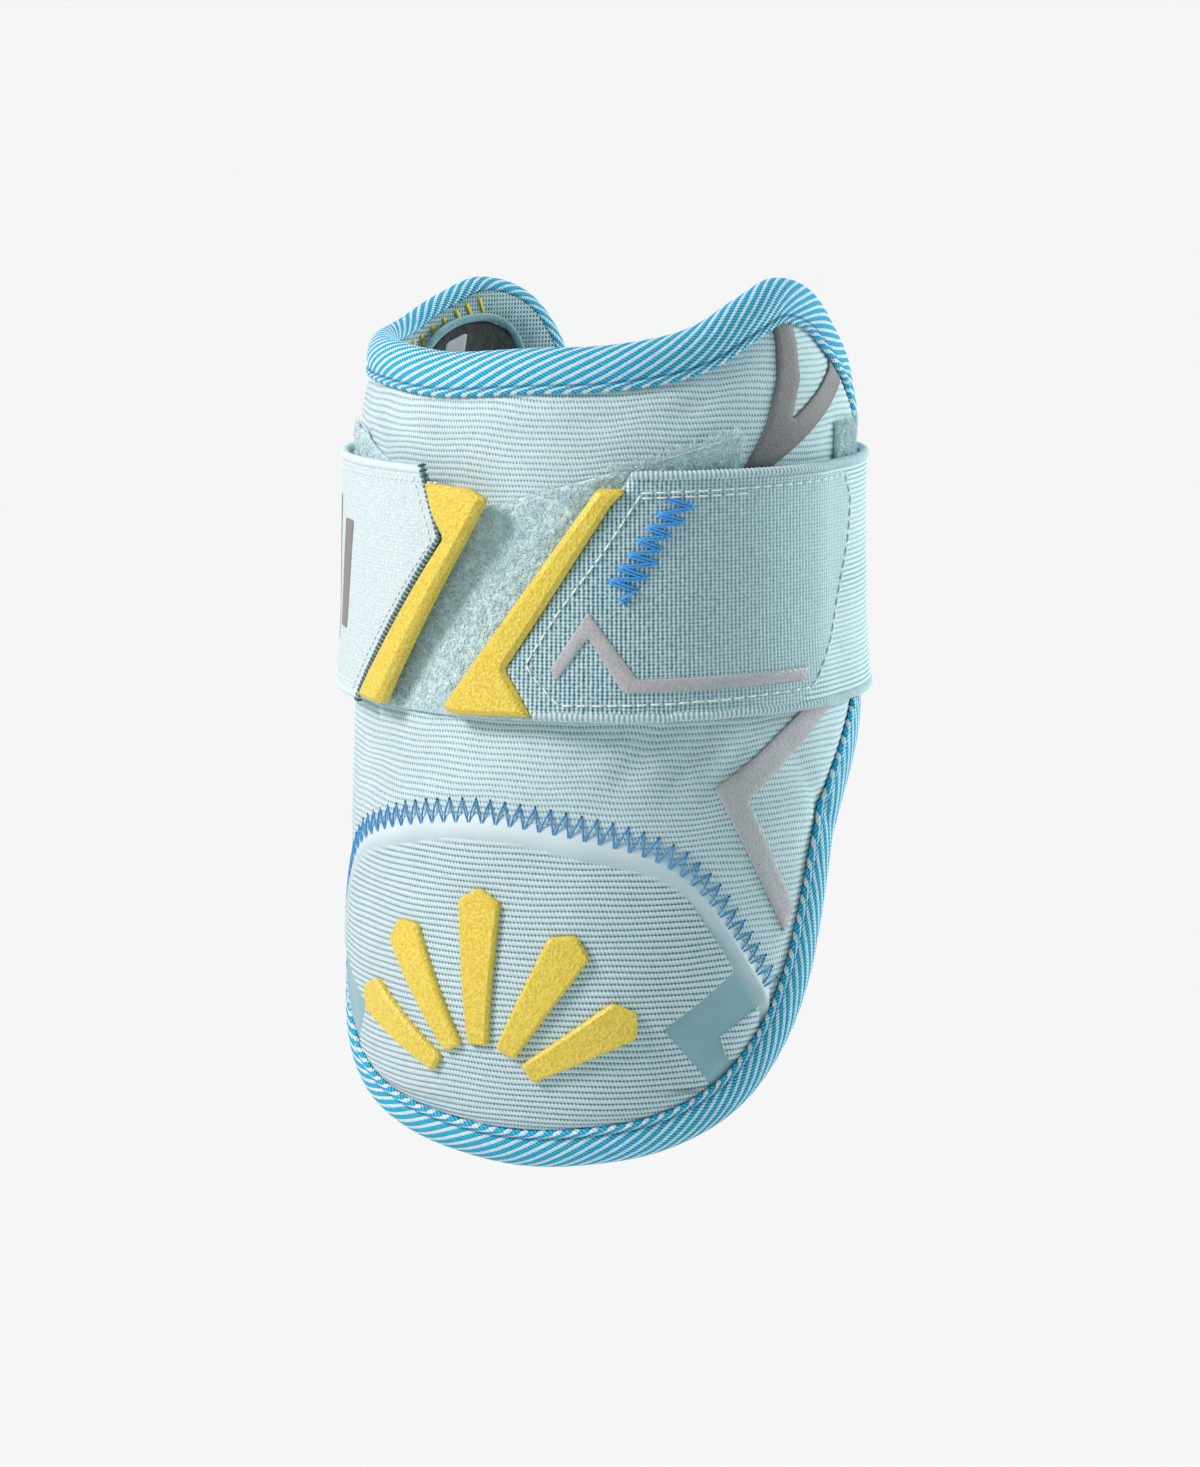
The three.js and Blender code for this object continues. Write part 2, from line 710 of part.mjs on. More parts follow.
for (const [name, { left, right, across, raise }] of Object.entries(hookPads)) {
  const leftSide = alongLine(left.map(strapSpot), [5]);
  const rightSide = alongLine(right.map(strapSpot), [5]);
  const low = alongLine([leftSide[0], rightSide[0]], [across]);
  const high = alongLine([leftSide[5], rightSide[5]], [across]);
  const pad = gridSlab(
    fillSides(low, high, leftSide, rightSide),
    (p) => offWall(p.x, p.y, hookSeat + raise(p.x)),
    (p) => offWall(p.x, p.y, hookSeat + hookThickness + raise(p.x)),
  );
  place(guard, name, pad, darkGrey, 1);
}

const tabOutlines = {
  tab_right: [
    { angle: 28, rise: 0.865 },
    { angle: 11.4, rise: -0.045 },
    { angle: -4.6, rise: -0.92 },
    { angle: -3.6, rise: -0.975 },
    { angle: -1.5, rise: -0.99 },
    { angle: 14.6, rise: -0.975 },
    { angle: 8.9, rise: -0.6 },
    { angle: 30.8, rise: 0.74 },
    { angle: 34, rise: 0.86 },
  ],
  tab_left: [
    { angle: -9.6, rise: 0.865 },
    { angle: -7.2, rise: 0.6 },
    { angle: -4.2, rise: 0.43 },
    { angle: -11, rise: 0.08 },
    { angle: -31.4, rise: -0.965 },
    { angle: -22, rise: -0.985 },
    { angle: -9, rise: -0.18 },
    { angle: 0, rise: 0.38 },
    { angle: 5, rise: 0.73 },
    { angle: 4, rise: 0.81 },
    { angle: 1.5, rise: 0.835 },
  ],
};
const tabSeat = hookSeat + hookRise;

place(
  guard,
  "tab_right",
  wrapped(tabOutlines.tab_right.map(strapSpot), tabSeat, tabThickness, tabBevel, offWall),
  moulded,
  0.5,
);
place(
  guard,
  "tab_left",
  wrapped(tabOutlines.tab_left.map(strapSpot), tabSeat, tabThickness, tabBevel, (x, y, d) =>
    offWall(x, y, d + lift(x)),
  ),
  moulded,
  0.5,
);

// Bonded stripes
const strapStripe = [
  { angle: 18.3, rise: -0.585 },
  { angle: 19.6, rise: -0.68 },
  { angle: 26, rise: -0.325 },
  { angle: 33, rise: -0.775 },
  { angle: 75, rise: -0.76 },
  { angle: 77, rise: -0.655 },
  { angle: 36, rise: -0.665 },
  { angle: 26, rise: -0.115 },
];
place(
  guard,
  "strap_stripe",
  wrapped(strapStripe.map(strapSpot), strapThickness + seamGap, trimThickness, 0, (x, y, d) =>
    offWall(x, y, d + strapSeat(x)),
  ),
  silver,
  0.6,
);

const coverStripes = {
  chevron_stripe: [
    { angle: 92, height: -0.2 },
    { angle: 81, height: -0.2 },
    { angle: 54, height: -0.333 },
    { angle: 71.4, height: -0.592 },
    { angle: 74.6, height: -0.55 },
    { angle: 62, height: -0.355 },
  ],
  shoulder_stripe: [
    { angle: 69, height: 0.39 },
    { angle: 61.5, height: 0.39 },
    { angle: 68, height: 0.53 },
    { angle: 73, height: 0.674 },
    { angle: 74, height: 0.775 },
    { angle: 80.6, height: 0.805 },
    { angle: 81, height: 0.668 },
    { angle: 76, height: 0.541 },
    { angle: 88, height: 0.624 },
    { angle: 97, height: 0.69 },
    { angle: 101.5, height: 0.63 },
    { angle: 86, height: 0.526 },
  ],
};
for (const [name, rows] of Object.entries(coverStripes)) {
  const colour = name === "chevron_stripe" ? silver : darkGrey;
  place(guard, name, wrapped(rows.map(spot), 1.5 * seamGap, trimThickness, 0, onCover, fineStep), colour, 0.6);
}

// Padding insert inside the left wing, with a piping round its arched top
const insertArch = [
  { angle: -124, height: -0.15 },
  { angle: -125, height: 0 },
  { angle: -126, height: 0.2 },
  { angle: -126, height: 0.47 },
  { angle: -125, height: 0.69 },
  { angle: -121, height: 0.78 },
  { angle: -113, height: 0.815 },
  { angle: -103, height: 0.81 },
  { angle: -93, height: 0.785 },
  { angle: -83, height: 0.72 },
  { angle: -77, height: 0.58 },
  { angle: -75, height: 0.3 },
  { angle: -75, height: 0.1 },
  { angle: -76, height: -0.08 },
  { angle: -77, height: -0.15 },
];
const insertSeat = padThickness + liningThickness + 4 * seamGap;
const pipingWidth = 2;

// Each point of the arch, moved across it on the unrolled wall.
function archLine(across) {
  const points = insertArch.map(spot);
  return points.map((p, i) => {
    const before = points[Math.max(i - 1, 0)];
    const after = points[Math.min(i + 1, points.length - 1)];
    const along = after.clone().sub(before).normalize();
    return new THREE.Vector2(p.x - along.y * across, p.y + along.x * across);
  });
}

function insertPad() {
  const edge = archLine(-pipingWidth / 2 - seamGap);
  const middle = spot({ angle: -100, height: -0.15 });
  const rings = 5;
  const grid = edge.map((p) =>
    Array.from({ length: rings + 1 }, (_, k) =>
      new THREE.Vector2(THREE.MathUtils.lerp(p.x, middle.x, k / rings), THREE.MathUtils.lerp(p.y, middle.y, k / rings)),
    ),
  );
  return gridSlab(
    grid.reverse(),
    (p) => offWall(p.x, p.y, -insertSeat - innerPadThickness),
    (p) => offWall(p.x, p.y, -insertSeat),
  );
}

function insertPiping() {
  const lines = [-1, -0.4, 0.4, 1].map((k) => archLine((k * pipingWidth) / 2));
  const proud = [0.5, 1, 1, 0.5];
  const grid = insertArch.map((_, i) => lines.map((line) => line[i]));
  return gridSlab(
    grid,
    (p, i, j) => offWall(p.x, p.y, -insertSeat - pipingThickness * proud[j]),
    (p) => offWall(p.x, p.y, -insertSeat),
  );
}

place(guard, "inner_pad", insertPad(), black, 0.95);
place(guard, "inner_piping", insertPiping(), 0xa9d4e4, 0.9);

export default guard;
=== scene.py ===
import math
import bpy
import numpy as np
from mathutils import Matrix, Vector, geometry


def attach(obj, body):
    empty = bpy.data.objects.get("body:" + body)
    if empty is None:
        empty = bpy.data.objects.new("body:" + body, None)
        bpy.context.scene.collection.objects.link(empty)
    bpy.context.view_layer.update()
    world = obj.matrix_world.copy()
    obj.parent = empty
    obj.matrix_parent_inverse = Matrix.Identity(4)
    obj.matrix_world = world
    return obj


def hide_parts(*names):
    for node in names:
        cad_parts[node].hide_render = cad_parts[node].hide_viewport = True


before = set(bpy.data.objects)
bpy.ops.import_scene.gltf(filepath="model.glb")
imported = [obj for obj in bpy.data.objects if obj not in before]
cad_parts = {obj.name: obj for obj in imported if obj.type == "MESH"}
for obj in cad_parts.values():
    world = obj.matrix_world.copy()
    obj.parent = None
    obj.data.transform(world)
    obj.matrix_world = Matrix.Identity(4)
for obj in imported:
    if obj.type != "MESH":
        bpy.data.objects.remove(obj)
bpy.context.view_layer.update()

# Studio
# A pale sweep of paper far below and behind the guard, a soft light high on the viewer's left, a weaker
# one from behind on the right, and a long lens at the photograph's angle. The guard is held up by the arm
# that would wear it, so it stands clear of the floor.
MM = 0.001
IMAGE_SIZE = (1200, 1467)
AZIMUTH = math.radians(30)
ELEVATION = math.radians(9)
CAMERA_DISTANCE = 1000
MM_PER_PIXEL = 0.225
SENSOR = 36
AIM = Vector((-1.4, -0.8, -38.3))
FLOOR_DROP = 520


def from_screen(red, green, blue):
    """Screen colour, 0 to 255, as the linear colour that a shader takes."""
    parts = np.array([red, green, blue]) / 255
    linear = np.where(parts <= 0.04045, parts / 12.92, ((parts + 0.055) / 1.055) ** 2.4)
    return (*linear.tolist(), 1)


toward_camera = Vector(
    (
        math.sin(AZIMUTH) * math.cos(ELEVATION),
        -math.cos(AZIMUTH) * math.cos(ELEVATION),
        math.sin(ELEVATION),
    )
)
scene = bpy.context.scene
scene.view_settings.view_transform = "Standard"
camera_data = bpy.data.cameras.new("camera")
camera_data.lens = SENSOR * CAMERA_DISTANCE / MM_PER_PIXEL / IMAGE_SIZE[1]
camera_data.sensor_width = SENSOR
camera = bpy.data.objects.new("camera", camera_data)
camera.location = (AIM + toward_camera * CAMERA_DISTANCE) * MM
camera.rotation_euler = (-toward_camera).to_track_quat("-Z", "Y").to_euler()
scene.collection.objects.link(camera)
scene.camera = camera

world = bpy.data.worlds.new("studio")
world.use_nodes = True
sky_tree = world.node_tree
room_light = sky_tree.nodes["Background"]
room_light.inputs["Color"].default_value = (0.72, 0.97, 1, 1)
room_light.inputs["Strength"].default_value = 0.325
bare_wall = sky_tree.nodes.new("ShaderNodeBackground")
bare_wall.inputs["Color"].default_value = (0.92, 0.92, 0.92, 1)
sight = sky_tree.nodes.new("ShaderNodeLightPath")
either = sky_tree.nodes.new("ShaderNodeMixShader")
sky_tree.links.new(sight.outputs["Is Camera Ray"], either.inputs[0])
sky_tree.links.new(room_light.outputs[0], either.inputs[1])
sky_tree.links.new(bare_wall.outputs[0], either.inputs[2])
sky_tree.links.new(either.outputs[0], sky_tree.nodes["World Output"].inputs["Surface"])
scene.world = world


def soft_light(name, turn, height, distance, size, watts, tint):
    """Square light at an angle from the camera's own direction, aimed at the guard."""
    data = bpy.data.lights.new(name, "AREA")
    data.size = size
    data.energy = watts
    data.color = tint
    light = bpy.data.objects.new(name, data)
    angle = AZIMUTH + math.radians(turn)
    place = Vector((math.sin(angle) * distance, -math.cos(angle) * distance, height))
    light.location = place
    light.rotation_euler = (AIM * MM - place).to_track_quat("-Z", "Y").to_euler()
    scene.collection.objects.link(light)


soft_light("key", -62, 0.8, 1.1, 0.35, 18.5, (1, 0.81, 0.795))
soft_light("rim", 112, 0.35, 1.2, 0.5, 12.6, (0.96, 0.99, 1))
soft_light("top", 10, 1.5, 0.4, 0.9, 2.5, (1, 0.96, 0.95))


def paper_sweep():
    """Floor that rises behind into a wall by a quarter circle, as one strip across the studio."""
    radius = 1.5
    back = 3.0
    bend = np.linspace(0, math.pi / 2, 24)
    along = np.concatenate([[-6], back + radius * np.sin(bend), [back + radius]])
    rise = np.concatenate([[0], radius * (1 - np.cos(bend)), [6]])
    across = np.array([-8, 8])
    away = np.array([-toward_camera.x, -toward_camera.y])
    away = away / np.linalg.norm(away)
    side = np.array([-away[1], away[0]])
    points = []
    for reach, height in zip(along, rise):
        for width in across:
            flat = away * reach + side * width
            points.append((flat[0], flat[1], height - FLOOR_DROP * MM))
    faces = [(2 * i, 2 * i + 1, 2 * i + 3, 2 * i + 2) for i in range(len(along) - 1)]
    mesh = bpy.data.meshes.new("paper_sweep")
    mesh.from_pydata(points, [], faces)
    mesh.polygons.foreach_set("use_smooth", [True] * len(faces))
    return mesh


paper = bpy.data.materials.new("paper")
paper.use_nodes = True
paper_surface = paper.node_tree.nodes["Principled BSDF"]
paper_surface.inputs["Base Color"].default_value = (0.05, 0.05, 0.05, 1)
paper_surface.inputs["Roughness"].default_value = 1
paper_surface.inputs["Specular IOR Level"].default_value = 0
paper_surface.inputs["Emission Color"].default_value = (1, 1, 1, 1)
paper_surface.inputs["Emission Strength"].default_value = 0.892
sweep_mesh = paper_sweep()
sweep_mesh.materials.append(paper)
sweep = bpy.data.objects.new("paper_sweep", sweep_mesh)
scene.collection.objects.link(sweep)

# Padded cover
# Stretch fabric with fine horizontal ribs over foam and a hard front shell, wrapped round the arm and
# open at the back. It is drawn in by the strap and by the stitching beside the binding tape. Places on
# it are an angle round the arm, 0 in front and positive towards +X, and a height from the strap.
GUARD_RADIUS = 56
EAR_RISE = 66
LIP_DROP = 127
TAPE_WIDTH = 10
PINCH_DEPTH = 1.05
PINCH_REACH = 4.5
RIB_PITCH = 1.31
RIB_HEIGHT = 0.27
YARN_PITCH = 0.76
PLAN_COLUMNS = ("height", "side", "front", "back")
PLAN = np.array(
    [
        (-1.1, 0.945, 0.86, 0.91),
        (-1.0, 0.973, 0.92, 0.93),
        (-0.91, 1.01, 1.005, 0.96),
        (-0.82, 1.028, 1.055, 0.98),
        (-0.68, 1.032, 1.08, 0.98),
        (-0.48, 1.016, 1.05, 0.98),
        (-0.24, 1.006, 1.015, 0.98),
        (-0.1, 0.981, 0.995, 0.975),
        (0.1, 0.974, 0.985, 0.97),
        (0.32, 0.972, 0.977, 0.97),
        (0.5, 0.98, 0.972, 0.97),
        (0.64, 0.949, 0.952, 0.965),
        (0.8, 0.92, 0.925, 0.955),
        (1.1, 0.91, 0.915, 0.94),
    ]
)
EDGE = np.array(
    [
        (8, -1), (26, -0.99), (44, -0.962), (60, -0.9), (72, -0.806), (81, -0.69), (87.5, -0.56),
        (93.5, -0.43), (104, -0.34), (117, -0.25), (127, -0.1), (131, 0.18), (127, 0.5), (118, 0.72),
        (104, 0.85), (90, 0.965), (76, 1), (64, 0.94), (50, 0.85), (32, 0.805), (10, 0.79), (-12, 0.77),
        (-34, 0.785), (-58, 0.8), (-80, 0.82), (-98, 0.89), (-114, 0.945), (-129, 0.88), (-139, 0.7),
        (-143, 0.44), (-139, 0.12), (-128, -0.11), (-113, -0.23), (-97, -0.325), (-84, -0.4),
        (-77, -0.53), (-72, -0.67), (-64, -0.79), (-53, -0.875), (-40, -0.935), (-25, -0.97),
        (-8, -0.99),
    ]
)
# Soft dents and folds: angle, height, half-lengths along and across in mm, turn of the long side in
# degrees from level, and depth in mm.
FOLDS = (
    (44, -0.33, 14, 9, 0, 0.8),
    (70, -0.27, 10, 9, 0, 0.5),
    (22, -0.28, 9, 9, 0, -0.35),
    (-30, -0.3, 14, 8, 0, 0.7),
    (-40, 0.52, 12, 9, 0, 0.7),
    (8, 0.47, 20, 8, 0, 0.45),
    (84, -0.42, 10, 10, 0, -0.35),
    (-92, 0.6, 14, 10, 0, -0.55),
    (37, -0.27, 9, 2.6, 55, 0.8),
    (47, -0.29, 8, 2.4, 60, 0.7),
    (57, -0.3, 9, 2.4, 50, 0.6),
    (28, -0.255, 8, 2, 40, 0.45),
    (80, -0.33, 9, 2.6, -50, 0.6),
    (86, -0.4, 8, 2.2, -60, 0.5),
    (-42, -0.27, 9, 2.6, -35, 0.7),
    (-28, -0.3, 10, 2.6, -30, 0.6),
    (-48, 0.5, 8, 2.2, -50, 0.6),
    (-34, 0.47, 9, 2.2, -40, 0.5),
    (-20, 0.52, 10, 2.4, -20, 0.4),
    (30, 0.56, 12, 2.8, 10, 0.5),
    (52, 0.62, 9, 2.4, 30, 0.5),
)


def lift_shares(share):
    """Millimetres above the strap's middle: a share of the ear's rise, or of the lip's drop below."""
    share = np.asarray(share, float)
    return np.where(share >= 0, share * EAR_RISE, share * LIP_DROP)


def arc_of(angle):
    """Millimetres round the arm at the guard's own radius."""
    return np.radians(np.asarray(angle, float)) * GUARD_RADIUS


def spots(rows):
    """Rows of angle and height share as points of the unrolled wall."""
    rows = np.asarray(rows, float)
    return np.stack([arc_of(rows[:, 0]), lift_shares(rows[:, 1])], axis=1)


def plan_at(column, height):
    """One reach of the plan at a height: cubic pieces with the slopes of each row's neighbours."""
    levels = lift_shares(PLAN[:, 0])
    values = PLAN[:, PLAN_COLUMNS.index(column)]
    before = np.maximum(np.arange(len(levels)) - 1, 0)
    after = np.minimum(np.arange(len(levels)) + 1, len(levels) - 1)
    slopes = (values[after] - values[before]) / (levels[after] - levels[before])
    i = np.clip(np.searchsorted(levels, height, side="right") - 1, 0, len(levels) - 2)
    span = levels[i + 1] - levels[i]
    t = np.clip((height - levels[i]) / span, 0, 1)
    rise = t * t * (3 - 2 * t)
    ease_in = slopes[i] * span * t * (1 - t) ** 2
    ease_out = slopes[i + 1] * span * t * t * (1 - t)
    return values[i] * (1 - rise) + values[i + 1] * rise + ease_in - ease_out


def fold_depth(arc, height):
    """Sum of turned oval dents, each a bell curve of its two half-lengths."""
    total = np.zeros(np.broadcast(arc, height).shape)
    for angle, share, along, across, turn, depth in FOLDS:
        x = arc - arc_of(angle)
        y = height - lift_shares(share)
        c = math.cos(math.radians(turn))
        s = math.sin(math.radians(turn))
        total += depth * np.exp(-(((x * c + y * s) / along) ** 2) - ((y * c - x * s) / across) ** 2)
    return total


def wall_point(arc, height):
    """Reach at the side blended into the front or back reach by the square of the cosine."""
    turn = arc / GUARD_RADIUS
    facing = np.cos(turn)
    side = plan_at("side", height)
    end = np.where(facing > 0, plan_at("front", height), plan_at("back", height))
    reach = (side + (end - side) * facing**2) * GUARD_RADIUS - fold_depth(arc, height)
    return np.stack([reach * np.sin(turn), -reach * facing, height + 0 * turn], axis=-1)


def off_wall(arc, height, distance):
    """Point of the wall moved along the wall's own normal."""
    arc, height = np.broadcast_arrays(np.asarray(arc, float), np.asarray(height, float))
    step = 0.4
    around = wall_point(arc + step, height) - wall_point(arc - step, height)
    up = wall_point(arc, height + step) - wall_point(arc, height - step)
    normal = np.cross(around, up)
    normal /= np.linalg.norm(normal, axis=-1, keepdims=True)
    return wall_point(arc, height) + normal * np.asarray(distance, float)[..., None]


def smooth_loop(points, count):
    """Closed centripetal spline through the points, cut into equal steps."""
    n = len(points)
    fine = []
    t = np.linspace(0, 1, 24, endpoint=False)[:, None]
    for k in range(n):
        p0, p1, p2, p3 = (points[(k + j) % n] for j in (-1, 0, 1, 2))
        d0, d1, d2 = (np.linalg.norm(b - a) ** 0.5 for a, b in ((p0, p1), (p1, p2), (p2, p3)))
        m1 = ((p1 - p0) / d0 - (p2 - p0) / (d0 + d1) + (p2 - p1) / d1) * d1
        m2 = ((p2 - p1) / d1 - (p3 - p1) / (d1 + d2) + (p3 - p2) / d2) * d1
        a = 2 * p1 - 2 * p2 + m1 + m2
        b = -3 * p1 + 3 * p2 - 2 * m1 - m2
        fine.append(a * t**3 + b * t**2 + m1 * t + p1)
    fine = np.concatenate(fine + [fine[0][:1]])
    length = np.concatenate([[0], np.cumsum(np.linalg.norm(np.diff(fine, axis=0), axis=1))])
    even = np.linspace(0, length[-1], count, endpoint=False)
    line = np.stack([np.interp(even, length, fine[:, k]) for k in (0, 1)], axis=1)
    return line, length[-1]


EDGE_STEPS = 720
edge_line, edge_length = smooth_loop(spots(EDGE), EDGE_STEPS)
edge_along = np.roll(edge_line, -4, axis=0) - np.roll(edge_line, 4, axis=0)
edge_along /= np.linalg.norm(edge_along, axis=1, keepdims=True)


def edge_point(travel, inset):
    """Point of the edge at a travel along it in mm, moved in from it on the unrolled wall."""
    place = (np.asarray(travel, float) / edge_length * EDGE_STEPS) % EDGE_STEPS
    i = np.floor(place).astype(int) % EDGE_STEPS
    part = (place - np.floor(place))[..., None]
    point = edge_line[i] * (1 - part) + edge_line[(i + 1) % EDGE_STEPS] * part
    along = edge_along[i] * (1 - part) + edge_along[(i + 1) % EDGE_STEPS] * part
    return point[..., 0] - along[..., 1] * inset, point[..., 1] + along[..., 0] * inset


def nearest_on_edge(flat):
    """Number of the edge point with the least squared distance, worked out in blocks of points."""
    own = (edge_line**2).sum(axis=1)
    blocks = np.array_split(flat, len(flat) // 20000 + 1)
    return np.concatenate([np.argmin(own - 2 * block @ edge_line.T, axis=1) for block in blocks])


def edge_depth(arc, height):
    """Distance inside the edge, negative outside: nearest edge point, signed by the side it is on."""
    flat = np.stack([np.ravel(arc), np.ravel(height)], axis=1)
    nearest = nearest_on_edge(flat)
    away = flat - edge_line[nearest]
    along = edge_along[nearest]
    inside = along[:, 0] * away[:, 1] - along[:, 1] * away[:, 0]
    return (np.linalg.norm(away, axis=1) * np.sign(inside)).reshape(np.shape(arc))


def pinch(depth):
    """The cover goes in towards the tape, where the stitching holds it down."""
    clear = np.clip((depth - TAPE_WIDTH + 1.5) / (PINCH_REACH + 1.5), 0, 1)
    return -PINCH_DEPTH * (1 - clear * clear * (3 - 2 * clear))


def waves(arc, height, seed):
    """Slow uneven drift between -1 and 1: a few crossing sine waves."""
    total = np.zeros(np.broadcast(arc, height).shape)
    rng = np.random.default_rng(seed)
    for _ in range(6):
        heading = rng.uniform(0, math.tau)
        length = rng.uniform(14, 45)
        shift = rng.uniform(0, math.tau)
        total += np.sin((arc * math.cos(heading) + height * math.sin(heading)) * math.tau / length + shift)
    return total / 3.5


def rib(phase):
    """Rounded ridge with a narrow groove: 1 on the crest, 0 in the groove."""
    return np.abs(np.cos(np.pi * phase)) ** 0.7


def grid_faces(rows, columns, closed=False):
    """Four-sided faces of a grid whose points are stored row by row, each row along the columns."""
    last = rows if closed else rows - 1
    j, i = np.meshgrid(np.arange(last), np.arange(columns - 1), indexing="ij")
    k = (j + 1) % rows
    return np.stack(
        [j * columns + i, j * columns + i + 1, k * columns + i + 1, k * columns + i], axis=-1
    ).reshape(-1, 4)


def new_piece(name, points, faces, material, replaces=(), lay=None, shade=None, sharp=None):
    """Mesh piece from arrays in mm. lay holds the place on the fabric, a row for each point or for each
    corner of each face, shade one value a point, and sharp the angle past which an edge stays crisp."""
    mesh = bpy.data.meshes.new(name)
    points = np.asarray(points, float).reshape(-1, 3)
    mesh.from_pydata((points * MM).tolist(), [], [list(map(int, face)) for face in faces])
    mesh.polygons.foreach_set("use_smooth", [True] * len(mesh.polygons))
    if lay is not None:
        lay = np.asarray(lay, np.float32).reshape(-1)
        domain = "POINT" if len(lay) == points.size else "CORNER"
        layer = mesh.attributes.new("lay", "FLOAT_VECTOR", domain)
        layer.data.foreach_set("vector", lay)
    if shade is not None:
        layer = mesh.attributes.new("shade", "FLOAT", "POINT")
        layer.data.foreach_set("value", np.asarray(shade, np.float32).reshape(-1))
    mesh.validate()
    if sharp:
        mesh.set_sharp_from_angle(angle=math.radians(sharp))
    mesh.materials.append(material)
    piece = bpy.data.objects.new(name, mesh)
    scene.collection.objects.link(piece)
    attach(piece, "root")
    if replaces:
        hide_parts(*replaces)
    return piece


def kept_grid(points, lay, shade, keep, columns):
    """Grid faces whose corners are all kept, with the unused points dropped."""
    rows = len(keep) // columns
    faces = grid_faces(rows, columns)
    faces = faces[keep[faces].all(axis=1)]
    used, order = np.unique(faces, return_inverse=True)
    return points[used], order.reshape(-1, 4), lay[used], shade[used]


def shader(name, roughness, specular, sheen=0.0):
    """Material with only its surface shader: returns it, the maker of its nodes, and the plug that
    leads a node's value into a socket of the shader."""
    material = bpy.data.materials.new(name)
    material.use_nodes = True
    tree = material.node_tree
    surface = tree.nodes["Principled BSDF"]
    surface.inputs["Roughness"].default_value = roughness
    surface.inputs["Specular IOR Level"].default_value = specular
    surface.inputs["Sheen Weight"].default_value = sheen

    def node(kind, inputs=(), **settings):
        made = tree.nodes.new(kind)
        for key, value in settings.items():
            setattr(made, key, value)
        for key, value in dict(inputs).items():
            if isinstance(value, bpy.types.NodeSocket):
                tree.links.new(value, made.inputs[key])
            else:
                made.inputs[key].default_value = value
        return made

    def plug(value, key):
        tree.links.new(value, surface.inputs[key])

    return material, node, plug


def calc(node, operation, first, second=0.0, third=0.0):
    """One sum, product or other step on numbers."""
    return node("ShaderNodeMath", {0: first, 1: second, 2: third}, operation=operation).outputs[0]


def blend(node, factor, first, second):
    """Mix of two colours by a factor."""
    made = node("ShaderNodeMix", {}, data_type="RGBA")
    tree = made.id_data
    for value, socket in ((factor, made.inputs[0]), (first, made.inputs[6]), (second, made.inputs[7])):
        if isinstance(value, bpy.types.NodeSocket):
            tree.links.new(value, socket)
        else:
            socket.default_value = value
    return made.outputs[2]


def ramp(node, factor, first, *between, last):
    """Colours blended in turn along stops, each a position and a screen colour."""
    made = node("ShaderNodeValToRGB", {0: factor})
    elements = made.color_ramp.elements
    for element, (position, colour) in ((elements[0], first), (elements[1], last)):
        element.position = position
        element.color = from_screen(*colour)
    for position, colour in between:
        elements.new(position).color = from_screen(*colour)
    return made.outputs[0]


def bump(node, plug, height, distance):
    """Fine relief of the surface, in mm."""
    made = node("ShaderNodeBump", {"Height": height, "Strength": 1.0, "Distance": distance * MM})
    plug(made.outputs[0], "Normal")


def noise(node, scale, detail):
    """Cloudy noise on the object's own coordinates, which are in metres."""
    coordinates = node("ShaderNodeTexCoord").outputs["Object"]
    made = node("ShaderNodeTexNoise", {"Vector": coordinates, "Scale": scale, "Detail": detail})
    return made.outputs[0]


def attribute(node, name):
    """Value that the mesh holds under a name."""
    return node("ShaderNodeAttribute", attribute_name=name).outputs["Fac"]


def stripes(node, place, pitch):
    """Sine wave of a place in mm, one turn to each pitch."""
    return calc(node, "SINE", calc(node, "MULTIPLY", place, math.tau / pitch))


def stretched(node, value, low, high):
    """0 at low and 1 at high, held at both ends."""
    return node("ShaderNodeMapRange", {0: value, 1: low, 2: high}).outputs[0]


def about_middle(node, value, gain, middle):
    """Noise spread about a middle value: its difference from a half, times the gain."""
    return calc(node, "MULTIPLY_ADD", calc(node, "SUBTRACT", value, 0.5), gain, middle)


def place_on_cloth(node):
    """The piece's own cloth coordinates in mm: along, across and a third value."""
    lay = node("ShaderNodeAttribute", attribute_name="lay").outputs["Vector"]
    return node("ShaderNodeSeparateXYZ", {0: lay}).outputs


def ribbed_cloth(name, crest, middle, groove):
    """Ribs with painted shade, darker in their grooves and lighter on their crests, each rib twisted from
    small slanting yarns whose dots are painted darkest in the grooves, with soft mottling.
    """
    material, node, plug = shader(name, 0.85, 0.25, sheen=0.15)
    x, y, _ = place_on_cloth(node)
    shade = attribute(node, "shade")
    yarn = stripes(node, calc(node, "MULTIPLY_ADD", y, 0.3, x), YARN_PITCH)
    # Painted shade: the yarn dots grow stronger where the rib is low, in its groove.
    reach = calc(node, "MULTIPLY_ADD", calc(node, "SUBTRACT", 1.0, shade), 0.34, 0.19)
    fine = noise(node, 1600.0, 2.0)
    soft = noise(node, 60.0, 3.0)
    ridge = calc(node, "MULTIPLY_ADD", yarn, reach, shade)
    ridge = about_middle(node, fine, 0.8, ridge)
    # Painted shade: the rib's height picks the colour, dark in the groove and light on the crest.
    colour = ramp(node, ridge, (0.02, groove), (0.55, middle), last=(0.95, crest))
    tone = calc(node, "MULTIPLY_ADD", soft, 0.24, 0.88)
    toned = node("ShaderNodeMix", {}, data_type="RGBA", blend_type="MULTIPLY")
    toned.inputs[0].default_value = 1
    toned.id_data.links.new(colour, toned.inputs[6])
    toned.id_data.links.new(tone, toned.inputs[7])
    plug(toned.outputs[2], "Base Color")
    relief = calc(node, "MULTIPLY_ADD", yarn, 0.5, fine)
    bump(node, plug, relief, 0.06)
    return material


cover_cloth = ribbed_cloth("ribbed_cover", (204, 226, 230), (174, 206, 212), (94, 142, 152))

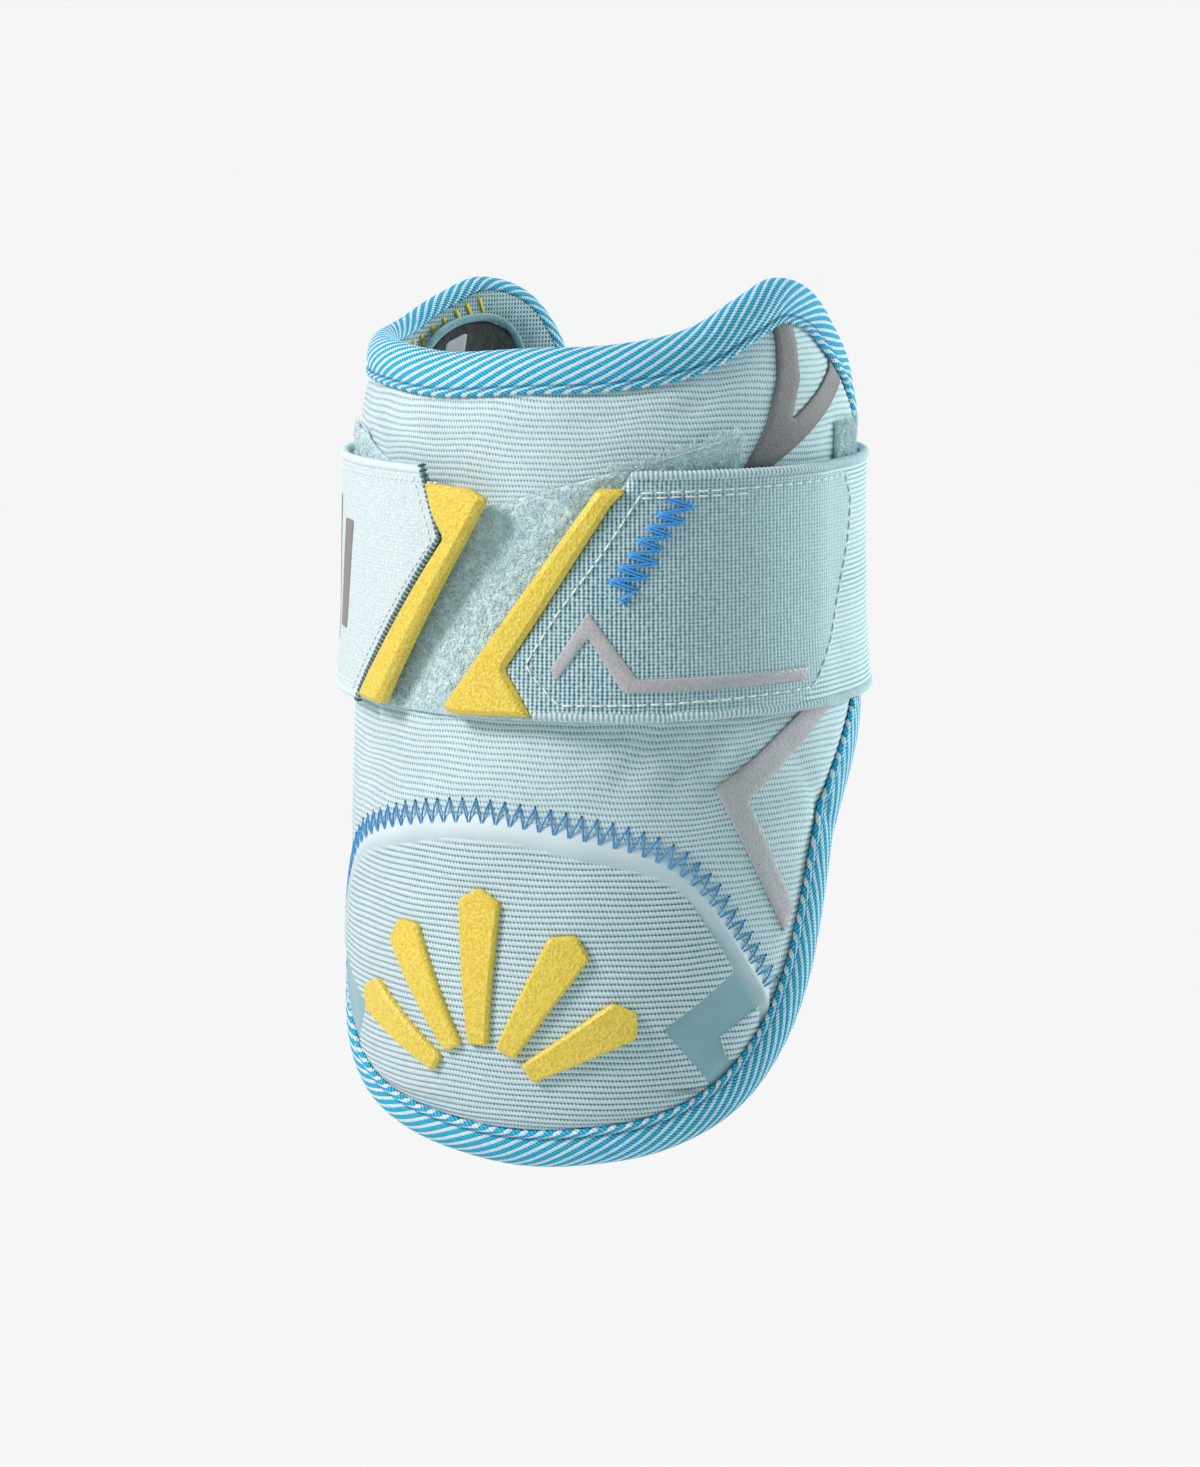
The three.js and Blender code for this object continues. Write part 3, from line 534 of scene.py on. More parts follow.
COVER_STEP = 1.8
COVER_SPAN = (arc_of(-144), arc_of(132))
ROWS_PER_RIB = 4
arcs = np.arange(*COVER_SPAN, COVER_STEP)
rib_count = int((EAR_RISE + LIP_DROP) / RIB_PITCH) + 2
phases = np.arange(rib_count * ROWS_PER_RIB) / ROWS_PER_RIB - LIP_DROP / RIB_PITCH
arc_grid, phase_grid = np.meshgrid(arcs, phases)


def rib_height(arc, phase):
    """Height at which a rib runs: its own level, warped slowly and pulled in by the folds."""
    level = phase * RIB_PITCH
    return level + 0.5 * waves(arc, level, 5) - 0.8 * fold_depth(arc, level)


height_grid = rib_height(arc_grid, phase_grid)
depth_grid = edge_depth(arc_grid, height_grid)
ridge_grid = rib(phase_grid)
stand = pinch(depth_grid) + RIB_HEIGHT * (ridge_grid - 0.7) + 0.18 * waves(arc_grid, height_grid, 9)
cover_points = off_wall(arc_grid, height_grid, stand).reshape(-1, 3)
cover_lay = np.stack([arc_grid, height_grid, phase_grid], axis=-1).reshape(-1, 3)
cover_keep = (depth_grid > TAPE_WIDTH - 3).reshape(-1)
cover = kept_grid(cover_points, cover_lay, ridge_grid.reshape(-1), cover_keep, len(arcs))
cover_piece = new_piece(
    "cover", cover[0], cover[1], cover_cloth, ["padded_wall"], lay=cover[2], shade=cover[3]
)


def two_sided(arc, height, near, far, keep, rim_inset):
    """Closed sheet from a grid of places: a face at the near stand, one at the far stand, and a rim
    along the sides that only one cell uses. The rim is drawn onto the edge's curve at an inset."""
    faces = grid_faces(*arc.shape)
    faces = faces[keep.reshape(-1)[faces].all(axis=1)]
    used, order = np.unique(faces, return_inverse=True)
    faces = order.reshape(-1, 4)
    sides = np.stack([faces, np.roll(faces, -1, axis=1)], axis=-1).reshape(-1, 2)
    _, first, count = np.unique(np.sort(sides, axis=1), axis=0, return_index=True, return_counts=True)
    rim = sides[first[count == 1]]
    flat = np.stack([arc.reshape(-1)[used], height.reshape(-1)[used]], axis=1)
    loose = np.unique(rim)
    travel = nearest_on_edge(flat[loose]) * edge_length / EDGE_STEPS
    flat[loose] = np.stack(edge_point(travel, rim_inset), axis=1)
    total = len(used)
    depth = edge_depth(flat[:, 0], flat[:, 1])
    outer = off_wall(flat[:, 0], flat[:, 1], near(depth))
    inner = off_wall(flat[:, 0], flat[:, 1], far(depth))
    walls = np.stack([rim[:, 1], rim[:, 0], rim[:, 0] + total, rim[:, 1] + total], axis=1)
    lay = np.concatenate([flat, flat])
    lay = np.concatenate([lay, np.zeros((len(lay), 1))], axis=1)
    return np.concatenate([outer, inner]), np.concatenate([faces, faces[:, ::-1] + total, walls]), lay


def foam_cloth():
    """Fine open cells."""
    material, node, plug = shader("foam", 0.95, 0.1)
    coordinates = node("ShaderNodeTexCoord").outputs["Object"]
    cells = node("ShaderNodeTexVoronoi", {"Vector": coordinates, "Scale": 1400.0}).outputs[0]
    plug(blend(node, cells, from_screen(214, 216, 214), from_screen(170, 174, 174)), "Base Color")
    bump(node, plug, cells, 0.1)
    return material


PAD_THICKNESS = 3.6
FOAM_INSET = 3
FOAM_STEP = 3.0
foam_arcs, foam_heights = np.meshgrid(
    np.arange(*COVER_SPAN, FOAM_STEP), np.arange(-LIP_DROP, EAR_RISE + 3, FOAM_STEP)
)
foam_points, foam_faces, _ = two_sided(
    foam_arcs,
    foam_heights,
    lambda depth: pinch(depth) - 0.6,
    lambda depth: -PAD_THICKNESS + 0 * depth,
    edge_depth(foam_arcs, foam_heights) > FOAM_INSET + 0.5,
    FOAM_INSET,
)
foam = new_piece("foam_core", foam_points, foam_faces, foam_cloth())

# Lining
# Soft mesh knit inside the guard, laid on the foam and sewn in under the tape's inner fold. Its yarns
# leave rows of small holes.
LINING_THICKNESS = 1.2
LINING_TOP = -PAD_THICKNESS - 0.36
LINING_INSET = 3.3
LINING_STEP = 2.2
HOLE_PITCH = 0.95


def lining_cloth():
    """Knit with a small hole between its yarns, in rows and columns, the holes painted dark teal as the shade
    inside them.
    """
    material, node, plug = shader("mesh_lining", 0.9, 0.2)
    x, y, _ = place_on_cloth(node)
    yarns = calc(node, "MAXIMUM", stripes(node, x, HOLE_PITCH), stripes(node, y, HOLE_PITCH))
    yarns = about_middle(node, noise(node, 1500.0, 2.0), 0.5, yarns)
    solid = stretched(node, yarns, -0.45, 0.1)
    # Painted shade: dark teal in the holes, pale on the yarns.
    plug(blend(node, solid, from_screen(64, 116, 124), from_screen(178, 207, 212)), "Base Color")
    bump(node, plug, yarns, 0.12)
    return material


lining_arcs, lining_heights = np.meshgrid(
    np.arange(*COVER_SPAN, LINING_STEP), np.arange(-LIP_DROP, EAR_RISE + 3, LINING_STEP)
)
lining_points, lining_faces, lining_lay = two_sided(
    lining_arcs,
    lining_heights,
    lambda depth: LINING_TOP + 0 * depth,
    lambda depth: LINING_TOP - LINING_THICKNESS + 0 * depth,
    edge_depth(lining_arcs, lining_heights) > LINING_INSET + 0.8,
    LINING_INSET,
)
lining = new_piece(
    "mesh_knit", lining_points, lining_faces, lining_cloth(), ["lining"], lay=lining_lay
)

# Binding tape
# A puffy woven tape in slanting blue and white cords, folded over the whole edge and stitched down
# along its inner rim. Past the stitching the cords end in a narrow rim of rounded loops.
TAPE_STEP = 0.55
CORD_PITCH = 1.7
CORD_TURN = math.radians(24)
RIM_WIDTH = 1.7
RIM_TURN = math.radians(14)
LOOP_RUN = 1.5
TWIST_PITCH = 1.25
TAPE_COLUMNS = 72
TAPE_SECTION = np.array(
    [
        (9.6, -0.75), (10.1, -0.3), (10.0, 0.2), (9.4, 0.45), (8.6, 0.45), (8.1, 0.2), (7.6, 0.4),
        (6.4, 0.8), (4.6, 0.9), (3.0, 0.6), (1.3, -0.3), (0.35, -1.6), (0.3, -2.9), (1.1, -4.2),
        (2.0, -4.9), (2.9, -5.1), (3.4, -4.7), (3.2, -4.1),
    ]
)


def tape_cloth():
    """Slanting cords, blue and white in turn: blue where the wave of the phase is low, each cord
    twisted from finer yarns that lie across it, lighter and darker along the twist as a pattern partly of
    painted shading. Painted shade darkens the gaps between cords and the stitching groove, which also
    stands for the stitching thread's blue line."""
    material, node, plug = shader("binding_tape", 0.75, 0.2)
    x, y, over = place_on_cloth(node)
    shade = attribute(node, "shade")
    phase = calc(node, "MULTIPLY_ADD", x, cords_around / edge_length, over)
    wave = calc(node, "COSINE", calc(node, "MULTIPLY", phase, math.tau))
    fine = noise(node, 1300.0, 2.0)
    white = stretched(node, about_middle(node, fine, 0.7, wave), 0.09, 0.35)
    gap = stretched(node, calc(node, "ABSOLUTE", wave), 0.0, 0.3)
    across = calc(node, "MULTIPLY_ADD", y, 1.7, calc(node, "MULTIPLY", x, -1.0))
    twist = stripes(node, across, TWIST_PITCH)
    # Twist stripes: the yarn's pattern, partly painted shading of its twist.
    blue = blend(
        node,
        calc(node, "MULTIPLY_ADD", twist, 0.5, 0.5),
        from_screen(0, 142, 206),
        from_screen(56, 220, 255),
    )
    bright = calc(node, "MULTIPLY_ADD", twist, 0.3, calc(node, "ADD", fine, 0.1))
    pale = blend(node, bright, from_screen(186, 218, 228), from_screen(240, 254, 255))
    colour = blend(node, white, blue, pale)
    # Painted shade between the cords and along the stitching groove, where it also draws the thread's blue
    # line.
    gap_shade_and_stitch_line = calc(node, "MULTIPLY", shade, calc(node, "MULTIPLY_ADD", gap, 0.5, 0.5))
    plug(blend(node, gap_shade_and_stitch_line, from_screen(8, 88, 130), colour), "Base Color")
    bump(node, plug, calc(node, "MULTIPLY_ADD", twist, 0.7, fine), 0.16)
    return material


def along_profile(profile, count):
    """Profile resampled into equal steps, with the length run at each step."""
    length = np.concatenate([[0], np.cumsum(np.linalg.norm(np.diff(profile, axis=0), axis=1))])
    even = np.linspace(0, length[-1], count)
    return np.stack([np.interp(even, length, profile[:, k]) for k in range(profile.shape[1])], axis=1), even


def rounded_profile(profile, count, passes=3):
    """Profile with its corners cut by repeated averaging, ends kept."""
    dense, _ = along_profile(profile, 8 * len(profile))
    for _ in range(passes * 6):
        dense[1:-1] = (dense[:-2] + 2 * dense[1:-1] + dense[2:]) / 4
    return along_profile(dense, count)


tape_profile, tape_run = rounded_profile(TAPE_SECTION, TAPE_COLUMNS)
station_count = int(edge_length / TAPE_STEP)
travels = np.arange(station_count) * edge_length / station_count
travel_grid, run_grid = np.meshgrid(travels, tape_run, indexing="ij")
inset_grid = np.broadcast_to(tape_profile[:, 0], travel_grid.shape)
tape_off = np.broadcast_to(tape_profile[:, 1], travel_grid.shape)
cords_around = round(edge_length * math.sin(CORD_TURN) / CORD_PITCH)
rim_run = RIM_WIDTH + 0.9
across_phase = np.interp(
    run_grid,
    [0, LOOP_RUN, rim_run, tape_run[-1]],
    np.cumsum(
        [
            0,
            LOOP_RUN * 0.9,
            (rim_run - LOOP_RUN) / math.tan(RIM_TURN),
            (tape_run[-1] - rim_run) / math.tan(CORD_TURN),
        ]
    ),
)
across_phase = across_phase * cords_around / edge_length
tape_phase = travel_grid / edge_length * cords_around + across_phase
stitch_groove = np.exp(-(((run_grid - rim_run) / 0.28) ** 2))
puff = np.abs(np.cos(math.tau * tape_phase)) ** 0.6
relief = (0.22 + 0.14 * (run_grid < rim_run)) * puff
inset_grid = inset_grid + 0.5 * (puff - 0.6) * np.clip((LOOP_RUN - run_grid) / 0.6, 0, 1)
outward = np.clip(1 - (inset_grid - 9.4) / 0.6, 0, 1)
tape_off = tape_off + (relief - 0.1) * np.where(tape_off > -2.5, 1, -1) * outward - 0.2 * stitch_groove
tape_arc, tape_height = edge_point(travel_grid, inset_grid)
tape_points = off_wall(tape_arc, tape_height, tape_off).reshape(-1, 3)
tape_lay = np.stack([travel_grid, run_grid, across_phase], axis=-1).reshape(-1, 3)
# Darker along the stitching groove: painted shade, and the stitching thread's line.
tape_shade = (1 - 0.75 * stitch_groove).reshape(-1)
tape_faces = grid_faces(station_count, TAPE_COLUMNS, closed=True)[:, ::-1]
tape_lay = tape_lay[tape_faces]
closing = tape_lay[-(TAPE_COLUMNS - 1) :]
closing[..., 0] = np.where(closing[..., 0] == 0, edge_length, closing[..., 0])
new_piece(
    "edge_tape",
    tape_points,
    tape_faces,
    tape_cloth(),
    ["binding_tape"],
    lay=tape_lay,
    shade=tape_shade,
)

# Shield film
# A smooth film bonded over the front shield, from the zigzag seam down to the tape. It dips under the
# tape at the bottom, and its upper edge lies under the seam's thread.
FILM_STAND = 0.25
SEAM_STEPS = 160
LIP_STEPS = 1400
FILM_ROWS = 80
FILM_COLUMNS = 150
HIDDEN_DEPTH = 7.5
SEAM = (
    (-59.2, -0.68), (-54, -0.58), (-41, -0.44), (-20, -0.395), (2, -0.363), (24, -0.392), (46, -0.432),
    (60, -0.59), (67, -0.68),
)
seam_line = spots(SEAM)


def under_tape(distance, depth):
    """Stand of a sheet that lies on the cover and goes down under the tape."""
    sink = np.clip((TAPE_WIDTH + 2.2 - depth) / 2.6, 0, 1)
    return distance + pinch(depth) - 0.9 * distance * sink


def smooth_cloth(name, light, dark):
    """Smooth skin with a painted highlight where it puffs up beside the seam, fading to painted shade farther
    below, with faint cloudy tone and a fine pebble.
    """
    material, node, plug = shader(name, 0.55, 0.4)
    tone = about_middle(node, noise(node, 70.0, 4.0), 0.5, attribute(node, "shade"))
    plug(blend(node, tone, from_screen(*dark), from_screen(*light)), "Base Color")
    bump(node, plug, noise(node, 1500.0, 1.0), 0.03)
    return material


film_top = rounded_profile(seam_line, SEAM_STEPS, 6)[0]
film_columns = np.linspace(film_top[0, 0], film_top[-1, 0], FILM_COLUMNS)
film_high = np.interp(film_columns, film_top[:, 0], film_top[:, 1])
low_arc, low_height = edge_point(np.linspace(0, edge_length, LIP_STEPS), HIDDEN_DEPTH)
on_lip = (low_height < -20) & (np.abs(low_arc) < 80)
lip_order = np.argsort(low_arc[on_lip])
film_low = np.interp(film_columns, low_arc[on_lip][lip_order], low_height[on_lip][lip_order])
film_low = np.minimum(film_low, film_high - 0.5)
film_share = np.linspace(0, 1, FILM_ROWS)[:, None]
film_heights = film_low + (film_high - film_low) * film_share
film_arcs = np.broadcast_to(film_columns, film_heights.shape)
film_depth = edge_depth(film_arcs, film_heights)
film_stand = under_tape(FILM_STAND, film_depth)
film_below = film_high - film_heights
film_stand += 0.55 * np.exp(-(((film_below - 4.2) / 2.2) ** 2))
film_stand[-1] -= 0.6
film = new_piece(
    "film",
    off_wall(film_arcs, film_heights, film_stand),
    grid_faces(FILM_ROWS, FILM_COLUMNS),
    smooth_cloth("bonded_film", (206, 227, 231), (122, 168, 178)),
    ["shield_film"],
    # Painted highlight near the seam, fading to painted shade down in the notches.
    shade=0.12 + 0.8 * np.clip(1.25 - film_below / 9, 0, 1),
)

# Ribbed shield panel
# The same ribbed cloth laid on the film, cut to a broad plate with a notch at each lower side, and a
# small corner of it beyond each notch. Its cut edges are pressed down into the film.
PANEL_STAND = 0.6
PANEL_LEFT = (
    (-75, -1), (-75, -0.88), (-44, -0.87), (-33, -0.745), (-53, -0.645), (-41, -0.48), (2, -0.405),
)
PANEL_RIGHT = (
    (75, -1), (75, -0.85), (53, -0.84), (42, -0.735), (58, -0.645), (45, -0.477), (2.2, -0.405),
)
CORNER_RIGHT = (
    ((56.2, -0.797), (53.5, -0.757), (63.5, -0.708)),
    ((64, -0.797), (66, -0.757), (64, -0.708)),
)
CORNER_LEFT = (
    ((-58, -0.803), (-60, -0.767), (-56, -0.71)),
    ((-47.6, -0.803), (-46, -0.767), (-55.5, -0.71)),
)
PANEL_COLUMNS = 130
CORNER_COLUMNS = 12


def ribbed_plate(name, left, right, columns, replaced):
    """Ribbed cloth between two cut sides: each rib's row is spread evenly from one side to the other."""
    left = spots(left)
    right = spots(right)
    low = max(left[0, 1], right[0, 1])
    high = min(left[-1, 1], right[-1, 1])
    rows = np.arange(int(low / RIB_PITCH * ROWS_PER_RIB), int(high / RIB_PITCH * ROWS_PER_RIB) + 1)
    phase = rows / ROWS_PER_RIB
    level = np.clip(phase * RIB_PITCH, low, high)
    start = np.interp(level, left[:, 1], left[:, 0])
    stop = np.interp(level, right[:, 1], right[:, 0])
    share = np.linspace(0, 1, columns)
    arc = start[:, None] + (stop - start)[:, None] * share
    phase = np.broadcast_to(phase[:, None], arc.shape)
    height = level[:, None] + 0.25 * waves(arc, level[:, None], 12)
    depth = edge_depth(arc, height)
    from_side = np.minimum(arc - start[:, None], stop[:, None] - arc)
    from_top = (high - level)[:, None]
    soft = np.clip(np.minimum(from_side, from_top * 2 + 0.3) / 0.7, 0, 1)
    # Near the cut sides the ridge falls, which presses the edge in and also paints it darker as shade.
    ridge = rib(phase) * (0.35 + 0.65 * soft)
    distance = under_tape(PANEL_STAND, depth) + (soft - 1) * 0.5 + RIB_HEIGHT * 1.15 * (ridge - 0.7) * soft
    points = off_wall(arc, height, distance).reshape(-1, 3)
    lay = np.stack([arc, height, phase], axis=-1).reshape(-1, 3)
    keep = depth > HIDDEN_DEPTH
    made = kept_grid(points, lay, ridge.reshape(-1), keep.reshape(-1), columns)
    piece = new_piece(name, made[0], made[1], panel_cloth, replaced, lay=made[2], shade=made[3])


panel_cloth = ribbed_cloth("ribbed_panel", (203, 224, 229), (173, 203, 210), (92, 138, 148))
ribbed_plate("panel", PANEL_LEFT, PANEL_RIGHT, PANEL_COLUMNS, ["shield_panel"])
ribbed_plate("panel_corner_right", *CORNER_RIGHT, CORNER_COLUMNS, ["corner_panel_right"])
ribbed_plate("panel_corner_left", *CORNER_LEFT, CORNER_COLUMNS, ["corner_panel_left"])

# Zigzag seam
# Blue thread that sews the shield down: one stitch up and one down, each sinking at its ends where the
# needle went in and standing up in an arch between. Along the upper row short dark stubs paint the shade in
# the needle holes.
ZIGZAG_HALF = 2.95
ZIGZAG_STEP = 1.62
THREAD_RADIUS = 0.21
HOLE_HALF = 0.28
HOLE_RADIUS = 0.24


def stitch_arches(starts, ends, sink, rise, count=8, bow=0.0):
    """Stitches between pairs of unrolled points: places along each, and a stand of half a sine wave."""
    share = np.linspace(0, 1, count)
    flat = starts[:, None, :] + (ends - starts)[:, None, :] * share[None, :, None]
    across = np.stack([-(ends - starts)[:, 1], (ends - starts)[:, 0]], axis=1)
    across /= np.linalg.norm(across, axis=1, keepdims=True)
    flat = flat + across[:, None, :] * (bow * np.sin(np.pi * share))[None, :, None]
    stand = sink + (rise - sink) * np.sin(np.pi * share) ** 0.6
    return flat[..., 0], flat[..., 1], np.broadcast_to(stand, flat.shape[:2])


def tubes(paths, radius, sides=6, taper=0.5):
    """Round threads along many paths of equal count: a ring of points at each step, and closed ends."""
    ahead = np.gradient(paths, axis=1)
    ahead /= np.linalg.norm(ahead, axis=2, keepdims=True)
    out = paths * np.array([1, 1, 0])
    out /= np.linalg.norm(out, axis=2, keepdims=True)
    side = np.cross(ahead, out)
    side /= np.maximum(np.linalg.norm(side, axis=2, keepdims=True), 1e-9)
    up = np.cross(side, ahead)
    count, steps = paths.shape[:2]
    width = np.full(steps, float(radius))
    width[[0, -1]] *= taper
    angle = np.arange(sides) * math.tau / sides
    ring = side[:, :, None, :] * np.cos(angle)[:, None] + up[:, :, None, :] * np.sin(angle)[:, None]
    points = paths[:, :, None, :] + ring * width[None, :, None, None]
    start = np.arange(count)[:, None, None] * steps * sides
    step = np.arange(steps - 1)[None, :, None] * sides
    turn = np.arange(sides)[None, None, :]
    following = (turn + 1) % sides
    a = start + step + turn
    b = start + step + following
    walls = np.stack([a, b, b + sides, a + sides], axis=-1).reshape(-1, 4).tolist()
    first = [(k * steps * sides + np.arange(sides)[::-1]).tolist() for k in range(count)]
    last = [(k * steps * sides + (steps - 1) * sides + np.arange(sides)).tolist() for k in range(count)]
    return points.reshape(-1, 3), walls + first + last


def spaced(line, step):
    """Points at about even steps along a line."""
    length = np.linalg.norm(np.diff(line, axis=0), axis=1).sum()
    return along_profile(line, max(2, round(length / step) + 1))[0]


def side_ways(line):
    """Unit step to the left of a line at each of its points."""
    ahead = np.gradient(line, axis=0)
    ahead /= np.linalg.norm(ahead, axis=1, keepdims=True)
    return np.stack([-ahead[:, 1], ahead[:, 0]], axis=1)


def thread_cloth(name, light, dark):
    """Glossy twisted thread."""
    material, node, plug = shader(name, 0.45, 0.5)
    twist = noise(node, 2600.0, 1.0)
    plug(blend(node, twist, from_screen(*dark), from_screen(*light)), "Base Color")
    bump(node, plug, twist, 0.06)
    return material


def over_seam(arc, height, stand):
    """Stand over the film beside the seam, which goes in with the pinch."""
    return off_wall(arc, height, stand + pinch(edge_depth(arc, height)) * 0.8)


blue_thread = thread_cloth("blue_thread", (72, 178, 236), (8, 96, 160))
seam_points = spaced(film_top, ZIGZAG_STEP)
swing = np.where(np.arange(len(seam_points)) % 2, 1, -1)[:, None] * ZIGZAG_HALF
zigzag = seam_points + side_ways(seam_points) * swing
arch = stitch_arches(zigzag[:-1], zigzag[1:], -0.1, 0.62, bow=0.12)
points, faces = tubes(over_seam(*arch), THREAD_RADIUS)
new_piece("zigzag_thread", points, faces, blue_thread)
upper = zigzag[1::2]
upward = side_ways(seam_points)[1::2] * HOLE_HALF
hole = stitch_arches(upper - upward, upper + upward, 0, 0.16, count=4)
points, faces = tubes(over_seam(*hole), HOLE_RADIUS)
# Dark stubs over the needle holes: painted shade in the holes.
hole_shade_cloth = thread_cloth("needle_hole_shade", (28, 92, 130), (12, 54, 86))
new_piece("zigzag_hole_shade", points, faces, hole_shade_cloth)

# Moulded pieces
# Grained rubber, bevelled all round: the two pull tabs on the strap's ends, and a plain badge of five
# rays on the shield. All are slabs cut to an outline and bent onto what carries them.
TAB_THICKNESS = 3
TAB_BEVEL = 1.1
RAY_THICKNESS = 1.6
RAY_BEVEL = 0.6
CRISP_ANGLE = 28
STRAP_WIDTH = 53
SEAM_GAP = 0.3
FLEECE = 1
HOOK = 0.8
HOOK_SEAT = 2.4 * SEAM_GAP + FLEECE
TAB_SEAT = HOOK_SEAT + HOOK + SEAM_GAP
LIFT_START = -62
LIFTED_END = 2.6
TAB_RIGHT = (
    (28, 0.865), (11.4, -0.045), (-5.2, -0.945), (-3, -0.99), (14.6, -0.975), (8.9, -0.6), (30.8, 0.74),
    (34, 0.86),
)
TAB_LEFT = (
    (-9.6, 0.865), (-7.2, 0.6), (-4.2, 0.43), (-11, 0.08), (-31.4, -0.965), (-22, -0.985), (-9, -0.18),
    (0, 0.38), (5.6, 0.76), (1.5, 0.835),
)
BADGE_CENTRE = (3, -0.86)
BADGE_INNER = 12
BADGE_OUTER = 46
RAY_TURN = 29


def strap_spots(rows):
    """Rows of angle and share of half the strap's width as points of the unrolled wall."""
    rows = np.asarray(rows, float)
    return np.stack([arc_of(rows[:, 0]), rows[:, 1] * STRAP_WIDTH / 2], axis=1)


def lift(arc):
    """How far the strap's loose left end stands up: the square of the way along it."""
    share = np.clip((arc - arc_of(LIFT_START)) / -arc_of(LIFT_START), 0, 1.1)
    return LIFTED_END * share**2


def eased_outline(corners, radius, step):
    """Closed outline with a curve of one control point in each corner, in even steps."""
    corners = np.asarray(corners, float)
    area = np.cross(corners, np.roll(corners, -1, axis=0)).sum()
    corners = corners if area > 0 else corners[::-1]
    parts = []
    t = np.linspace(0, 1, 7)[:, None]
    for before, corner, after in zip(np.roll(corners, 1, axis=0), corners, np.roll(corners, -1, axis=0)):
        back = before - corner
        front = after - corner
        reach_back = min(radius, 0.4 * np.linalg.norm(back))
        reach_front = min(radius, 0.4 * np.linalg.norm(front))
        p = corner + back / np.linalg.norm(back) * reach_back
        q = corner + front / np.linalg.norm(front) * reach_front
        parts.append(p * (1 - t) ** 2 + corner * 2 * t * (1 - t) + q * t * t)
    line = np.concatenate(parts)
    closed = np.concatenate([line, line[:1]])
    length = np.linalg.norm(np.diff(closed, axis=0), axis=1).sum()
    return along_profile(closed, max(12, round(length / step)) + 1)[0][:-1]


def moved_in(outline, distance):
    """Outline moved inwards along its own normals."""
    ahead = np.roll(outline, -1, axis=0) - np.roll(outline, 1, axis=0)
    ahead /= np.linalg.norm(ahead, axis=1, keepdims=True)
    return outline + np.stack([-ahead[:, 1], ahead[:, 0]], axis=1) * distance


def inside_outline(points, outline):
    """Which points lie inside: an odd number of sides crossed on the way out."""
    a = outline
    b = np.roll(outline, -1, axis=0)
    x = points[:, 0:1]
    y = points[:, 1:2]
    spans = (a[:, 1] > y) != (b[:, 1] > y)
    rise = np.where(b[:, 1] == a[:, 1], 1e-9, b[:, 1] - a[:, 1])
    crossing = a[:, 0] + (y - a[:, 1]) / rise * (b[:, 0] - a[:, 0])
    return ((spans & (x < crossing)).sum(axis=1) % 2) == 1


def filled(outline, step):
    """Triangles over an outline with extra points on an even grid inside it."""
    low = outline.min(axis=0)
    high = outline.max(axis=0)
    x, y = np.meshgrid(np.arange(low[0], high[0], step), np.arange(low[1], high[1], step))
    grid = np.stack([x.ravel(), y.ravel()], axis=1)
    grid = grid[inside_outline(grid, outline)]
    if len(grid):
        far = np.linalg.norm(grid[:, None, :] - outline[None, :, :], axis=2).min(axis=1)
        grid = grid[far > step * 0.55]
    flat = np.concatenate([outline, grid])
    count = len(outline)
    sides = [(k, (k + 1) % count) for k in range(count)]
    made = geometry.delaunay_2d_cdt([Vector(p) for p in flat.tolist()], sides, [], 1, 1e-5)
    points = np.array([tuple(p) for p in made[0]])
    source = [origin[0] if origin else -1 for origin in made[3]]
    faces = [list(face) for face in made[2]]
    return points, faces, source


def slab(outline, profile, stand, step, inward):
    """Solid of an outline: rings of inset and height, then a filled top and bottom, on the wall."""
    rings = []
    for inset, rise in profile:
        rings.append(np.concatenate([moved_in(outline, inset), np.full((len(outline), 1), rise)], axis=1))
    count = len(outline)
    flat = list(rings)
    faces = []
    for k in range(len(rings) - 1):
        a = k * count + np.arange(count)
        b = k * count + (np.arange(count) + 1) % count
        faces += np.stack([a, b, b + count, a + count], axis=1).tolist()
    total = len(rings) * count
    for ring, base, turned in ((rings[-1], (len(rings) - 1) * count, False), (rings[0], 0, True)):
        points, triangles, source = filled(ring[:, :2], step if not turned else step * 2)
        index = []
        extra = []
        for point, origin in zip(points, source):
            if 0 <= origin < count:
                index.append(base + origin)
            else:
                index.append(total + len(extra))
                extra.append((point[0], point[1], ring[0, 2]))
        if extra:
            flat.append(np.array(extra))
        total += len(extra)
        for triangle in triangles:
            picked = [index[k] for k in triangle]
            faces.append(picked[::-1] if turned else picked)
    flat = np.concatenate(flat)
    if inward:
        faces = [face[::-1] for face in faces]
    return stand(flat[:, 0], flat[:, 1], flat[:, 2]), faces


def cut_piece(name, outline, profile, stand, step, finish, replaces=(), inward=False, sharp=None):
    """Slab with a finish, as a piece that may stand for solids."""
    points, faces = slab(outline, profile, stand, step, inward)
    return new_piece(name, points, faces, finish, replaces, sharp=sharp)


def bevelled(thickness, bevel):
    """Rings of a slab with a flat slope round its upper edge, eased a little at both of its corners."""
    return [
        (0, 0),
        (0, thickness - bevel),
        (0.06 * bevel, thickness - 0.9 * bevel),
        (0.95 * bevel, thickness - 0.06 * bevel),
        (1.04 * bevel, thickness),
    ]


def grained(name, light, dark, scale, depth, roughness):
    """Moulded skin with a leather grain: pebbles with fine creases between, darker in the creases."""
    material, node, plug = shader(name, roughness, 0.45)
    coordinates = node("ShaderNodeTexCoord").outputs["Object"]
    cells = node("ShaderNodeTexVoronoi", {"Vector": coordinates, "Scale": scale}, feature="SMOOTH_F1")
    grain = calc(node, "MULTIPLY_ADD", noise(node, scale * 0.8, 3.0), 0.9, cells.outputs[0])
    mixed = stretched(node, grain, 0.3, 1.1)
    plug(blend(node, mixed, from_screen(*light), from_screen(*dark)), "Base Color")
    bump(node, plug, calc(node, "MULTIPLY", grain, -1.0), depth)
    return material


